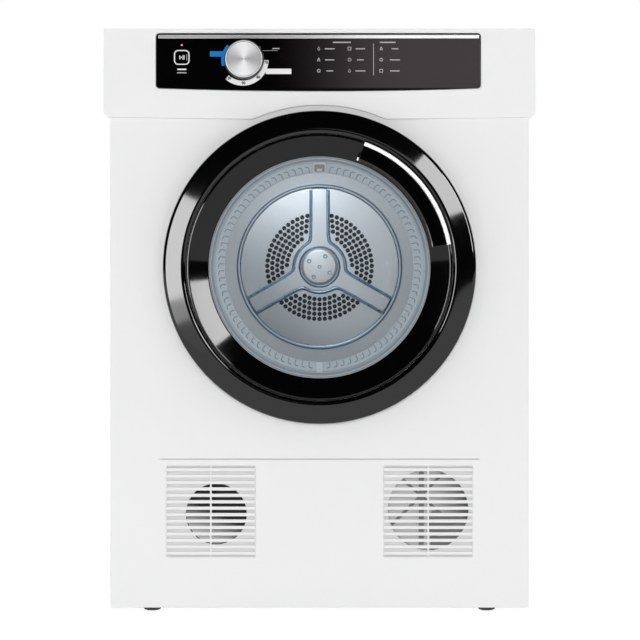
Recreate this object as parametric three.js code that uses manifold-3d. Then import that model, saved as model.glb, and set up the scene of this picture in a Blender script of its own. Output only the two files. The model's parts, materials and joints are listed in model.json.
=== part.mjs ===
// A free-standing vented clothes dryer, 600 mm wide. Millimetres, +Z up, front facing -Y.
// The origin is the middle of the footprint, on the floor.
import * as THREE from 'three'
import { mergeVertices } from 'three/addons/utils/BufferGeometryUtils.js'
import Module from 'manifold-3d'

// ---- driving dimensions ----
const WIDTH = 600 // control fascia and worktop
const CABINET_WIDTH = 582
const HEIGHT = 810
const DEPTH = 600 // knob face to rear cover
const UNDERSIDE = 6 // cabinet's lower edge above the floor
const SHEET = 1 // folded steel sheet
const GAP = 0.3 // clearance between neighbouring pieces

const AXIS_Z = 479 // the door and the drum share this height
const PANEL_Y = -262 // face of the front panel
const FASCIA_Y = -268 // face of the control fascia
const FASCIA_BACK = -213
const REAR_Y = 264 // outer face of the rear panel
const FASCIA_LOW = 687 // fascia's lower edge at the sides
const FASCIA_ARC = 225 // round cut-out of the fascia above the door

const DOOR_R = 217
const DOOR_Y = -290 // face of the door ring
const DOOR_BACK = -264.3
const MOUTH_R = 175 // loading mouth
const PANEL_HOLE_R = 185
const WINDOW_R = 153.7
const BEZEL_R = 184.7
const RING_R = 187.5 // inner edge of the outer ring
const BOWL_R = 129 // mouth of the glass bowl
const HINGE_X = -210.5
const HINGE_Y = -281
const HINGE_HALF = 30 // half the height of the hinge

const DRUM_R = 274
const DRUM_FRONT = -222
const DRUM_BACK = 216.5
const BULKHEAD_Y = -236 // front face of the bulkhead

const MOTOR = { x: 151, z: 141.5, radius: 56 }
const PULLEY_R = 8
const BELT_Y = -50
const BELT_WIDTH = 9
const BELT_THICK = 2.4
const IDLER = { x: 60, z: 146, radius: 20 }
const IDLER_PIVOT = { x: 118, z: 70 }
const ROLLER = { radius: 25, angle: 32 } // degrees either side of the drum's lowest point
const EXHAUST = { x: -143.5, z: 136, radius: 42.25 }
const BLOWER = { radius: 88, front: 10, back: 90 }

const KNOB = { x: -104.6, z: 767, radius: 26.8, face: 24.1 }
const BUTTON = { x: -191, z: 770.1, width: 21.8, height: 20.8, corner: 6 }
const FOOT = { x: 233.5, front: -225, rear: 238, radius: 12.3, flat: 7, stud: 5, top: 38 }
const FOOT_BOSS = { radius: 12, bore: 5.4, top: 22 }
const GRILLE = { x: 151, z: 139.7, width: 123.8, height: 126.9, slots: 15, pitch: 8.94, slat: 4.4 }

const ROUND = 36 // segments of the large circles
const SMALL = 12 // segments of the small ones

const wasm = await Module()
wasm.setup()

// ---- solids ----
function solid(geometry) {
  const bare = geometry.clone()
  bare.deleteAttribute('normal')
  bare.deleteAttribute('uv')
  const merged = mergeVertices(bare, 1e-4)
  return new wasm.Manifold(new wasm.Mesh({
    numProp: 3,
    vertProperties: new Float32Array(merged.attributes.position.array),
    triVerts: new Uint32Array(merged.index.array),
  }))
}

function surface(manifold) {
  const mesh = manifold.getMesh()
  const geometry = new THREE.BufferGeometry()
  geometry.setAttribute('position', new THREE.BufferAttribute(new Float32Array(mesh.vertProperties), 3))
  geometry.setIndex(new THREE.BufferAttribute(new Uint32Array(mesh.triVerts), 1))
  geometry.computeVertexNormals()
  return geometry
}

const join = (first, ...rest) => rest.reduce((sum, piece) => sum.add(piece), first)
const cut = (first, ...rest) => rest.reduce((sum, piece) => sum.subtract(piece), first)

function box(x, y, z) {
  const geometry = new THREE.BoxGeometry(x[1] - x[0], y[1] - y[0], z[1] - z[0])
  geometry.translate((x[0] + x[1]) / 2, (y[0] + y[1]) / 2, (z[0] + z[1]) / 2)
  return solid(geometry)
}

// A rod along Y between two depths, at (x, z).
function rodY(radius, y, x = 0, z = 0, segments = SMALL) {
  const geometry = new THREE.CylinderGeometry(radius, radius, y[1] - y[0], segments)
  geometry.translate(x, (y[0] + y[1]) / 2, z)
  return solid(geometry)
}

function rodX(radius, x, y, z, segments = SMALL) {
  const geometry = new THREE.CylinderGeometry(radius, radius, x[1] - x[0], segments)
  geometry.rotateZ(Math.PI / 2)
  geometry.translate((x[0] + x[1]) / 2, y, z)
  return solid(geometry)
}

function rodZ(radius, z, x, y, segments = SMALL) {
  const geometry = new THREE.CylinderGeometry(radius, radius, z[1] - z[0], segments)
  geometry.rotateX(Math.PI / 2)
  geometry.translate(x, y, (z[0] + z[1]) / 2)
  return solid(geometry)
}

// Turns a closed profile of [radius, y] points about the Y axis and moves it to (x, z).
function turnedY(profile, x = 0, z = AXIS_Z, segments = ROUND) {
  const points = profile.map(([radius, y]) => new THREE.Vector2(radius, y))
  if (THREE.ShapeUtils.area(points) < 0) points.reverse()
  const onAxis = points.some((point) => point.x === 0)
  if (!onAxis) points.push(points[0].clone())
  const geometry = new THREE.LatheGeometry(points, segments)
  geometry.translate(x, 0, z)
  return solid(geometry)
}

function turnedZ(profile, x, y, segments = SMALL) {
  const points = profile.map(([radius, z]) => new THREE.Vector2(radius, z))
  if (THREE.ShapeUtils.area(points) < 0) points.reverse()
  const geometry = new THREE.LatheGeometry(points, segments)
  geometry.rotateX(Math.PI / 2)
  geometry.translate(x, y, 0)
  return solid(geometry)
}

// Extrudes a shape drawn in X and Z between two depths.
function plateY(shape, y, curveSegments = 6) {
  const depth = y[1] - y[0]
  const geometry = new THREE.ExtrudeGeometry(shape, { depth, bevelEnabled: false, curveSegments })
  geometry.rotateX(Math.PI / 2)
  geometry.translate(0, y[1], 0)
  return solid(geometry)
}

function roundedShape(x, z, width, height, corner) {
  const [left, right, low, high] = [x - width / 2, x + width / 2, z - height / 2, z + height / 2]
  const shape = new THREE.Shape()
  shape.moveTo(left + corner, low)
  shape.lineTo(right - corner, low)
  shape.absarc(right - corner, low + corner, corner, -Math.PI / 2, 0, false)
  shape.lineTo(right, high - corner)
  shape.absarc(right - corner, high - corner, corner, 0, Math.PI / 2, false)
  shape.lineTo(left + corner, high)
  shape.absarc(left + corner, high - corner, corner, Math.PI / 2, Math.PI, false)
  shape.lineTo(left, low + corner)
  shape.absarc(left + corner, low + corner, corner, Math.PI, Math.PI * 1.5, false)
  return shape
}

// A band of a ring about the door axis, between two radii and two angles in degrees.
function arcBand(inner, outer, from, to) {
  const [start, end] = [THREE.MathUtils.degToRad(from), THREE.MathUtils.degToRad(to)]
  const shape = new THREE.Shape()
  shape.absarc(0, AXIS_Z, outer, start, end, false)
  shape.absarc(0, AXIS_Z, inner, end, start, true)
  shape.closePath()
  return shape
}

const dryer = new THREE.Group()

function add(name, manifold, color, roughness, metalness = 0) {
  const material = new THREE.MeshStandardMaterial({ color, roughness, metalness })
  const mesh = new THREE.Mesh(surface(manifold), material)
  mesh.name = name
  dryer.add(mesh)
}

const WHITE = 0xeeeeee
const BLACK = 0x0a0a0b
const STEEL = 0xb9bcc0
const ZINC = 0xa9adb0
const DARK = 0x2b2c2e
const FELT = 0x8c8a84

// ---- cabinet ----
const SIDE = CABINET_WIDTH / 2
const PAN = { low: UNDERSIDE + SHEET + GAP, thick: 1.5, rim: 15.5 }
const INSIDE = SIDE - SHEET - GAP
const LIP = 12 // folded edges
const SIDE_FRONT = PANEL_Y + LIP + GAP
const TOP_BOTTOM = 790 // underside of the worktop
const PANEL_TOP = 716 // the front panel ends behind the fascia
const CREASE = { half: 222, low: 211.7, high: 213.1, depth: 0.4 }
const CATCH = { x: 201, half: 5, tall: 12 } // slot for the door's striker

// A side panel is a wall with folded edges at the front, the back and the bottom.
function sidePanel(sign) {
  const span = (a, b) => (sign > 0 ? [a, b] : [-b, -a])
  const [back, top] = [REAR_Y - 3 * SHEET, TOP_BOTTOM - GAP]
  const wall = box(span(SIDE - LIP, SIDE), [SIDE_FRONT, REAR_Y], [UNDERSIDE, top])
  const inside = box(span(0, SIDE - SHEET), [SIDE_FRONT + SHEET, back], [UNDERSIDE + SHEET, HEIGHT])
  const behind = box(span(0, SIDE - SHEET), [back + SHEET, REAR_Y + SHEET], [0, HEIGHT])
  return cut(wall, inside, behind)
}
add('left_side_panel', sidePanel(-1), WHITE, 0.4)
add('right_side_panel', sidePanel(1), WHITE, 0.4)

function footPlaces() {
  const places = []
  for (const [end, y] of [['front', FOOT.front], ['rear', FOOT.rear]]) {
    for (const [side, x] of [['left', -FOOT.x], ['right', FOOT.x]]) {
      places.push([`${side}_${end}_foot`, x, y])
    }
  }
  return places
}

function basePan() {
  const { low, thick, rim } = PAN
  const half = INSIDE
  const [front, back] = [PANEL_Y + 14, REAR_Y - 5]
  const outer = box([-half, half], [front, back], [low, rim])
  const inner = box([-half + thick, half - thick], [front + thick, back - thick], [low + thick, rim + 1])
  let pan = cut(outer, inner)
  for (const [, x, y] of footPlaces()) {
    const boss = rodZ(FOOT_BOSS.radius, [low + 1, FOOT_BOSS.top], x, y)
    pan = cut(join(pan, boss), rodZ(FOOT_BOSS.bore, [0, FOOT_BOSS.top + 1], x, y))
  }
  return pan
}
add('base_pan', basePan(), ZINC, 0.45, 0.8)

for (const [name, x, y] of footPlaces()) {
  const top = UNDERSIDE + SHEET
  const pad = [[0, 0], [FOOT.flat, 0], [FOOT.radius, UNDERSIDE - 1], [FOOT.radius, top]]
  const profile = [...pad, [FOOT.stud, top], [FOOT.stud, FOOT.top], [0, FOOT.top]]
  add(name, turnedZ(profile, x, y), BLACK, 0.6)
}

function frontPanel() {
  const top = PANEL_TOP
  const back = PANEL_Y + LIP
  let panel = join(
    box([-SIDE, SIDE], [PANEL_Y, PANEL_Y + SHEET], [UNDERSIDE, top]),
    box([-SIDE, -SIDE + SHEET], [PANEL_Y, back], [UNDERSIDE, top]),
    box([SIDE - SHEET, SIDE], [PANEL_Y, back], [UNDERSIDE, top]),
    box([-SIDE, SIDE], [PANEL_Y, back], [UNDERSIDE, UNDERSIDE + SHEET]),
    rodY(PANEL_HOLE_R + SHEET, [PANEL_Y, PANEL_Y + 9], 0, AXIS_Z, ROUND),
  )
  panel = cut(panel, rodY(PANEL_HOLE_R, [PANEL_Y - 1, back], 0, AXIS_Z, ROUND))
  for (const x of [-GRILLE.x, GRILLE.x]) {
    const [w, h] = [GRILLE.width / 2 + GAP, GRILLE.height / 2 + GAP]
    panel = cut(panel, box([x - w, x + w], [PANEL_Y - 1, PANEL_Y + 2], [GRILLE.z - h, GRILLE.z + h]))
  }
  const crease = box([-CREASE.half, CREASE.half], [PANEL_Y - 1, PANEL_Y + CREASE.depth],
    [CREASE.low, CREASE.high])
  const catchSlot = box([CATCH.x - CATCH.half, CATCH.x + CATCH.half], [PANEL_Y - 1, PANEL_Y + 2],
    [AXIS_Z - CATCH.tall, AXIS_Z + CATCH.tall])
  return cut(panel, crease, catchSlot)
}
add('front_panel', frontPanel(), WHITE, 0.4)

// A louvred insert: two columns of slots, flush with the panel, with a snap-in flange behind it.
function grille(x) {
  const [w, h] = [GRILLE.width / 2, GRILLE.height / 2]
  const behind = PANEL_Y + SHEET + GAP
  const border = 1
  const rib = 1.15 // half the upright rib
  const [wide, tall] = [w + 5, h + 5]
  let insert = join(
    box([x - w, x + w], [PANEL_Y, behind + 1], [GRILLE.z - h, GRILLE.z + h]),
    box([x - wide, x + wide], [behind, PANEL_Y + 6], [GRILLE.z - tall, GRILLE.z + tall]),
  )
  const slot = (GRILLE.pitch - GRILLE.slat) / 2
  for (let i = 0; i < GRILLE.slots; i++) {
    const z = GRILLE.z + (i - (GRILLE.slots - 1) / 2) * GRILLE.pitch
    const span = [Math.max(z - slot, GRILLE.z - h + border), Math.min(z + slot, GRILLE.z + h - border)]
    for (const [left, right] of [[x - w + border, x - rib], [x + rib, x + w - border]]) {
      insert = insert.subtract(box([left, right], [PANEL_Y - 1, PANEL_Y + 7], span))
    }
  }
  return insert
}
add('left_grille', grille(-GRILLE.x), WHITE, 0.45)
add('right_grille', grille(GRILLE.x), WHITE, 0.45)

// ---- control fascia ----
// The fascia's outline, set in by a wall thickness where its hollow is drawn.
function fasciaOutline(inset) {
  const half = WIDTH / 2 - inset
  const low = FASCIA_LOW + inset
  const step = SIDE - inset
  const arc = FASCIA_ARC + inset
  const seam = low - 2.6
  const corner = 9
  const shoulder = FASCIA_LOW + 60 // above it the sides lean in
  const lean = 0.7
  const meet = Math.asin((seam - AXIS_Z) / arc)
  const shape = new THREE.Shape()
  shape.moveTo(-step, low)
  shape.lineTo(-arc * Math.cos(meet), seam)
  shape.absarc(0, AXIS_Z, arc, Math.PI - meet, meet, true)
  shape.lineTo(step, low)
  shape.quadraticCurveTo(half, low, half, low + corner)
  shape.lineTo(half, shoulder)
  shape.lineTo(half - lean, HEIGHT - inset)
  shape.lineTo(-half + lean, HEIGHT - inset)
  shape.lineTo(-half, shoulder)
  shape.lineTo(-half, low + corner)
  shape.quadraticCurveTo(-half, low, -step, low)
  return shape
}

const WINDOW = { x: -1.6, width: 449.8, low: 727.6, sag: 3.9, high: 803.2, corner: 4.5 }
const TRIM = { x: -1.3, z: 798.9, width: 444.8, height: 4.9, corner: 0.8 }

// The control window's outline: its lower edge sags a little towards the middle.
function windowOutline(grow) {
  const half = WINDOW.width / 2 + grow
  const [low, high, corner] = [WINDOW.low - grow, WINDOW.high + grow, WINDOW.corner]
  const shape = new THREE.Shape()
  shape.moveTo(-half + corner, low)
  shape.quadraticCurveTo(0, low - 2 * WINDOW.sag, half - corner, low)
  shape.quadraticCurveTo(half, low, half, low + corner)
  shape.lineTo(half, high - corner)
  shape.absarc(half - corner, high - corner, corner, 0, Math.PI / 2, false)
  shape.lineTo(-half + corner, high)
  shape.absarc(-half + corner, high - corner, corner, Math.PI / 2, Math.PI, false)
  shape.lineTo(-half, low + corner)
  shape.quadraticCurveTo(-half, low, -half + corner, low)
  return shape
}

const windowPlate = (grow, y) => plateY(windowOutline(grow), y).translate([WINDOW.x, 0, 0])

const FASCIA_WALL = 2.5
const POCKET = 1.3
const knobBore = rodY(4.5, [FASCIA_Y - 9, FASCIA_BACK], KNOB.x, KNOB.z)
const buttonBore = plateY(
  roundedShape(BUTTON.x, BUTTON.z, BUTTON.width + 0.8, BUTTON.height + 0.8, BUTTON.corner + 0.4),
  [FASCIA_Y - 9, FASCIA_BACK], 4)

function controlFascia() {
  const behindPanel = box([-SIDE - GAP, SIDE + GAP], [PANEL_Y - GAP, 0], [600, 720])
  return cut(
    plateY(fasciaOutline(0), [FASCIA_Y, FASCIA_BACK], 8),
    plateY(fasciaOutline(FASCIA_WALL), [FASCIA_Y + FASCIA_WALL, FASCIA_BACK + 1], 8),
    windowPlate(GAP, [FASCIA_Y - 1, FASCIA_Y + POCKET]),
    behindPanel, knobBore, buttonBore,
  )
}
add('control_fascia', controlFascia(), WHITE, 0.38)

const WINDOW_FACE = FASCIA_Y - 0.7
const WINDOW_BACK = FASCIA_Y + POCKET - GAP
add('control_window', cut(windowPlate(0, [WINDOW_FACE, WINDOW_BACK]), knobBore, buttonBore), BLACK, 0.08)
const trimOutline = roundedShape(TRIM.x, TRIM.z, TRIM.width, TRIM.height, TRIM.corner)
add('trim_bar', plateY(trimOutline, [WINDOW_FACE - 1, WINDOW_FACE - GAP], 3), 0xd6d7d9, 0.2, 1)

// The push button stops against its switch after its stroke.
add('start_button', plateY(roundedShape(BUTTON.x, BUTTON.z, BUTTON.width, BUTTON.height, BUTTON.corner),
  [WINDOW_FACE - 0.6, PANEL_Y - 1.6], 4), BLACK, 0.12)

// ---- program knob ----
const KNOB_FRONT = -DEPTH / 2
const KNOB_BACK = WINDOW_FACE - GAP
const rim = KNOB.radius - 1.1
add('program_knob', turnedY([
  [0, -240], [3, -240], [3, KNOB_BACK], [KNOB.radius, KNOB_BACK], [KNOB.radius, KNOB_BACK - 3],
  [rim + 0.3, KNOB_FRONT + 2], [rim, KNOB_FRONT + 0.6], [KNOB.face + GAP, KNOB_FRONT + 0.6],
  [KNOB.face + GAP, KNOB_FRONT + 2.4], [0, KNOB_FRONT + 2.4],
], KNOB.x, KNOB.z, 28), DARK, 0.3, 0.6)
add('knob_face', turnedY([[0, KNOB_FRONT], [KNOB.face - 0.4, KNOB_FRONT], [KNOB.face, KNOB_FRONT + 0.4],
  [KNOB.face, KNOB_FRONT + 2.1], [0, KNOB_FRONT + 2.1]], KNOB.x, KNOB.z, 28), 0xd8d9db, 0.25, 1)
add('program_selector', cut(
  box([KNOB.x - 16, KNOB.x + 16], [-260, -251.3], [KNOB.z - 16, KNOB.z + 16]),
  rodY(3 + GAP, [-262, -239], KNOB.x, KNOB.z)), DARK, 0.6)

function controlBoard() {
  const board = box([-215, 60], [-251, -249.4], [735, 788])
  const relays = [-40, -5, 30].map((x) => box([x - 12, x + 12], [-250, -240], [745, 775]))
  return cut(join(board, ...relays), rodY(4, [-260, -239], KNOB.x, KNOB.z))
}
add('control_board', controlBoard(), 0x2f6b3c, 0.6)

// ---- worktop ----
// The worktop is a lid with folded edges, open underneath.
function worktop() {
  const [front, back] = [FASCIA_BACK + GAP, REAR_Y + 6]
  const half = WIDTH / 2 - 1
  const edge = 2
  const middle = (front + back) / 2
  const lid = (inset, bevel, depth, corner) => {
    const shape = roundedShape(0, middle, 2 * (half - inset), back - front - 2 * inset, corner)
    const geometry = new THREE.ExtrudeGeometry(shape, {
      depth, bevelEnabled: bevel > 0, bevelSize: bevel, bevelThickness: bevel, bevelSegments: 1,
      curveSegments: 2,
    })
    return solid(geometry).translate([0, 0, TOP_BOTTOM + bevel])
  }
  const wall = 1.5
  const outer = lid(edge, edge, HEIGHT - TOP_BOTTOM - 2 * edge, 4)
  const hollow = lid(edge + wall, 0, HEIGHT - TOP_BOTTOM - wall, 4 - wall)
  return cut(outer, hollow.translate([0, 0, -GAP]))
}
add('top_panel', worktop(), WHITE, 0.4)

// ---- rear ----
const COLLAR_R = 97 // hot air enters the drum through this collar
const CORD = { x: 230, z: 62, bore: 11 }
const LOUVRE = { left: -235, right: -150, z: 120, count: 8, pitch: 9, height: 4 }
const COVER = { radius: 138, half: 112, low: 186 }
const VENTS = { half: 80, z: 196, count: 6, pitch: 9, height: 4 }
function rearPanel() {
  const [inner, outer] = [COLLAR_R, COLLAR_R + SHEET]
  let panel = join(
    box([-INSIDE, INSIDE], [REAR_Y - SHEET, REAR_Y], [12, TOP_BOTTOM - GAP]),
    rodY(outer, [DRUM_BACK + 1.5, REAR_Y - SHEET / 2], 0, AXIS_Z, 32),
  )
  panel = cut(panel, rodY(inner, [DRUM_BACK, REAR_Y + 1], 0, AXIS_Z, 32))
  for (let i = 0; i < LOUVRE.count; i++) {
    const z = LOUVRE.z + i * LOUVRE.pitch
    const slot = box([LOUVRE.left, LOUVRE.right], [REAR_Y - 3, REAR_Y + 1], [z, z + LOUVRE.height])
    panel = cut(panel, slot)
  }
  return cut(panel, rodY(CORD.bore, [REAR_Y - 3, REAR_Y + 1], CORD.x, CORD.z))
}
add('rear_panel', rearPanel(), ZINC, 0.45, 0.8)

// The cover's outline is a disc over the drum axis run down into a box for the heater.
function coverOutline(inset) {
  const radius = COVER.radius - inset
  const half = COVER.half - inset
  const low = COVER.low + inset
  const meet = Math.acos(half / radius)
  const shape = new THREE.Shape()
  shape.moveTo(-half, low)
  shape.lineTo(half, low)
  shape.absarc(0, AXIS_Z, radius, -meet, Math.PI + meet, false)
  shape.lineTo(-half, low)
  return shape
}

function rearCover() {
  const [front, back] = [REAR_Y + GAP, DEPTH / 2]
  const flange = cut(plateY(coverOutline(-12), [front, front + SHEET], 10),
    plateY(coverOutline(SHEET), [front - 1, front + 3], 10))
  let cover = join(flange, cut(plateY(coverOutline(0), [front, back], 10),
    plateY(coverOutline(SHEET), [front - 1, back - SHEET], 10)))
  for (let i = 0; i < VENTS.count; i++) {
    const z = VENTS.z + i * VENTS.pitch
    cover = cut(cover, box([-VENTS.half, VENTS.half], [back - 3, back + 1], [z, z + VENTS.height]))
  }
  return cover
}
add('rear_cover', rearCover(), ZINC, 0.45, 0.8)

// A zigzag rod of straight runs and half-round returns.
function heaterElement() {
  const runs = 5
  const half = 62
  const pitch = 22
  const lowest = 250
  const y = REAR_Y + 20
  const path = new THREE.CurvePath()
  const turn = pitch / 2
  for (let i = 0; i < runs; i++) {
    const z = lowest + i * pitch
    const [from, to] = i % 2 ? [half, -half] : [-half, half]
    path.add(new THREE.LineCurve3(new THREE.Vector3(from, y, z), new THREE.Vector3(to, y, z)))
    if (i < runs - 1) {
      const side = Math.sign(to) * turn
      path.add(new THREE.CubicBezierCurve3(
        new THREE.Vector3(to, y, z), new THREE.Vector3(to + side * 1.33, y, z),
        new THREE.Vector3(to + side * 1.33, y, z + pitch), new THREE.Vector3(to, y, z + pitch)))
    }
  }
  const section = new THREE.Shape()
  section.absarc(0, 0, 4, 0, Math.PI * 2, false)
  return solid(new THREE.ExtrudeGeometry(section, { extrudePath: path, steps: 45, curveSegments: 3 }))
}
add('heater_element', heaterElement(), 0x5d5048, 0.5, 0.9)

const BEARING_R = 20
add('bearing_bracket', cut(
  join(box([-130, 130], [REAR_Y + GAP + SHEET + GAP, REAR_Y + 4], [AXIS_Z - 24, AXIS_Z + 24]),
    rodY(BEARING_R + 4, [238, REAR_Y + 3], 0, AXIS_Z, 24)),
  rodY(BEARING_R + GAP, [230, REAR_Y + 9], 0, AXIS_Z, 24)), STEEL, 0.4, 0.9)
add('rear_bearing', turnedY([[9.3, 238], [BEARING_R, 238], [BEARING_R, 266], [9.3, 266]], 0, AXIS_Z, 24),
  0xb08d57, 0.4, 0.9)

add('overheat_thermostat', rodY(9, [REAR_Y + GAP, REAR_Y + 10], 60, 220), DARK, 0.5)
add('terminal_block', box([207, 253], [238, REAR_Y - SHEET - GAP], [84, 112]), 0xe6e3da, 0.6)
add('cord_gland', turnedY([[4.2, 252], [10.7, 252], [10.7, REAR_Y + GAP], [15, REAR_Y + GAP],
  [15, REAR_Y + 3], [9, REAR_Y + 11], [4.2, REAR_Y + 11]], CORD.x, CORD.z, SMALL), BLACK, 0.7)

// ---- bulkhead and seals ----
const ROLLER_PITCH = DRUM_R + GAP + ROLLER.radius
const ROLLER_X = ROLLER_PITCH * Math.sin(THREE.MathUtils.degToRad(ROLLER.angle))
const ROLLER_Z = AXIS_Z - ROLLER_PITCH * Math.cos(THREE.MathUtils.degToRad(ROLLER.angle))
const AXLE_R = 5
const PLATE_BACK = BULKHEAD_Y + 1.5

// The bulkhead closes the drum's front and carries the loading collar and the roller axles.
function frontBulkhead() {
  const collar = turnedY([[MOUTH_R, -258], [BEZEL_R - 0.5, -258], [BEZEL_R - 0.5, -256.5],
    [MOUTH_R + 2, -256.5], [MOUTH_R + 2, PLATE_BACK], [MOUTH_R, PLATE_BACK]])
  const plate = cut(box([-INSIDE + LIP, INSIDE - LIP], [BULKHEAD_Y, PLATE_BACK], [196, 774]),
    rodY(MOUTH_R + 1, [-250, -220], 0, AXIS_Z, ROUND))
  const axles = [-ROLLER_X, ROLLER_X].map((x) => rodY(AXLE_R, [BULKHEAD_Y + 0.5, -197], x, ROLLER_Z))
  const airSlot = box([-58, 58], [-253, BULKHEAD_Y - 2], [290, AXIS_Z - 150])
  return cut(join(collar, plate, ...axles), airSlot)
}
add('front_bulkhead', frontBulkhead(), 0xdfe0e1, 0.5)
add('front_drum_seal', turnedY([[256, PLATE_BACK + GAP], [DRUM_R - 1, PLATE_BACK + GAP],
  [DRUM_R - 1, DRUM_FRONT - GAP], [256, DRUM_FRONT - GAP]]), FELT, 0.95)

// ---- drum ----
const LOW_SPOKE = 210 // degrees of the left-hand spoke; the three are a third of a turn apart
add('drum_shell', turnedY([
  [255, DRUM_FRONT], [DRUM_R, DRUM_FRONT], [DRUM_R, DRUM_BACK + 1.5], [DRUM_R - 1, DRUM_BACK + 1.5],
  [DRUM_R - 1, DRUM_FRONT + 1], [255, DRUM_FRONT + 1],
]), STEEL, 0.3, 1)

// Five rows of slots stand between the spokes, and each row reaches further round than the last.
const VENT = { inner: 48.4, pitch: 7.27, rows: 5, hole: 5.8, innerHalf: 27, outerHalf: 46 }
function drumBack() {
  const edge = DRUM_R - 1 - GAP
  const dish = 5
  let back = turnedY([
    [0, DRUM_BACK - dish], [118, DRUM_BACK - dish], [122, DRUM_BACK - 1.2], [edge, DRUM_BACK - 1.2],
    [edge, DRUM_BACK], [121, DRUM_BACK], [117, DRUM_BACK - dish + 1.2], [0, DRUM_BACK - dish + 1.2],
  ])
  for (let sector = 0; sector < 3; sector++) {
    const middle = LOW_SPOKE + 60 + sector * 120
    for (let row = 0; row < VENT.rows; row++) {
      const radius = VENT.inner + row * VENT.pitch
      const half = VENT.innerHalf + ((VENT.outerHalf - VENT.innerHalf) * row) / (VENT.rows - 1)
      const slot = arcBand(radius - VENT.hole / 2, radius + VENT.hole / 2, middle - half, middle + half)
      back = cut(back, plateY(slot, [DRUM_BACK - 9, DRUM_BACK + 9], 2))
    }
  }
  return back
}
add('drum_back', drumBack(), STEEL, 0.35, 1)
add('drum_hub', turnedY([[0, 205.5], [22, 205.5], [27.3, 207.5], [27.3, DRUM_BACK - 5 - GAP],
  [0, DRUM_BACK - 5 - GAP]], 0, AXIS_Z, 24), 0xc4c8cc, 0.35, 1)
add('drum_shaft', turnedY([[0, DRUM_BACK - 3.5], [44, DRUM_BACK - 3.5], [44, DRUM_BACK], [9, DRUM_BACK + 4],
  [9, REAR_Y + 4], [0, REAR_Y + 4]], 0, AXIS_Z, 24), STEEL, 0.3, 1)

// A lifter is a hollow rounded ridge along the drum wall, open towards it.
function ridge(foot, half, tall, length, back) {
  const shape = new THREE.Shape()
  shape.moveTo(foot, -half)
  shape.bezierCurveTo(foot - tall * 0.5, -half * 0.75, foot - tall, -half * 0.5, foot - tall, 0)
  shape.bezierCurveTo(foot - tall, half * 0.5, foot - tall * 0.5, half * 0.75, foot, half)
  shape.closePath()
  return plateY(shape, [back - length, back])
}

function lifter(angle) {
  const [half, tall, wall, length, back] = [30, 62, 3, 390, 190]
  const reach = (DRUM_R - SHEET) * Math.cos(Math.PI / ROUND) - GAP
  const foot = Math.sqrt(reach ** 2 - half ** 2)
  const inside = ridge(foot + wall, half - wall, tall, length - 2 * wall, back - wall)
  const shell = cut(ridge(foot, half, tall, length, back), inside)
  return shell.rotate([0, -angle, 0]).translate([0, 0, AXIS_Z])
}
for (let i = 0; i < 3; i++) add(`drum_lifter_${i + 1}`, lifter(30 + i * 120), 0xd0d3d6, 0.5)

// ---- motor and blower ----
const MOTOR_FRONT = -205
const MOTOR_BACK = -80
const SHAFT_R = 6

function motorHousing() {
  const { x, z, radius } = MOTOR
  const core = 41
  let body = cut(rodY(radius, [MOTOR_FRONT + 6, MOTOR_BACK - 6], x, z, 28),
    rodY(core, [MOTOR_FRONT, MOTOR_BACK], x, z, 28))
  for (const [from, to] of [[MOTOR_FRONT, MOTOR_FRONT + 8], [MOTOR_BACK - 8, MOTOR_BACK]]) {
    const hub = rodY(15, [from, to], x, z)
    const arms = [45, 135].map((angle) => {
      const geometry = new THREE.BoxGeometry(2 * radius - 6, to - from, 11)
      geometry.rotateY(THREE.MathUtils.degToRad(angle))
      geometry.translate(x, (from + to) / 2, z)
      return solid(geometry)
    })
    body = join(body, hub, ...arms)
  }
  return cut(body, rodY(SHAFT_R + 0.5, [MOTOR_FRONT - 1, MOTOR_BACK + 1], x, z))
}
add('motor_housing', motorHousing(), 0xb5b8bb, 0.5, 0.8)

function motorBracket() {
  const { x, z, radius } = MOTOR
  const seat = PAN.low + PAN.thick + GAP
  const cradle = [[-190, -186], [-99, -95]].map(([from, to]) => (
    box([x - 50, x + 50], [from, to], [seat + 1, z - 20])))
  const pivotPost = join(
    box([x - 42, x - 26], [-99, -95], [50, z - 60]),
    rodY(4, [-97, -44], IDLER_PIVOT.x, IDLER_PIVOT.z),
  )
  const foot = box([x - 54, x + 54], [-200, -84], [seat, seat + 2.5])
  return cut(join(foot, ...cradle, pivotPost), rodY(radius + 0.8, [-260, -60], x, z, 28))
}
add('motor_bracket', motorBracket(), ZINC, 0.45, 0.8)

add('motor_rotor', turnedY([
  [0, MOTOR_FRONT - 5], [SHAFT_R, MOTOR_FRONT - 5], [SHAFT_R, -185], [38, -185], [38, -100], [SHAFT_R, -100],
  [SHAFT_R, BELT_Y - 10], [PULLEY_R + 5, BELT_Y - 10], [PULLEY_R + 5, BELT_Y - 7], [PULLEY_R, BELT_Y - 6],
  [PULLEY_R, BELT_Y + 6], [PULLEY_R + 5, BELT_Y + 7], [PULLEY_R + 5, BELT_Y + 10], [SHAFT_R, BELT_Y + 10],
  [SHAFT_R, 76], [0, 76],
], MOTOR.x, MOTOR.z, SMALL), STEEL, 0.3, 1)

function fanWheel() {
  const { x, z } = MOTOR
  const outer = 76
  const blades = 8
  let wheel = join(
    rodY(outer, [78, 81], x, z, 24),
    rodY(14, [50, 80], x, z),
    turnedY([[outer - 3, 20], [outer, 20], [outer, 24], [outer - 3, 24]], x, z, 24),
  )
  for (let i = 0; i < blades; i++) {
    const geometry = new THREE.BoxGeometry(26, 59, 2)
    geometry.translate(outer - 14, 49.5, 0)
    geometry.rotateY(THREE.MathUtils.degToRad((i * 360) / blades + 4))
    geometry.translate(x, 0, z)
    wheel = wheel.add(solid(geometry))
  }
  return cut(wheel, rodY(SHAFT_R + GAP, [0, 77], x, z))
}
add('fan_wheel', fanWheel(), 0x8d9093, 0.6)

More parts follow.
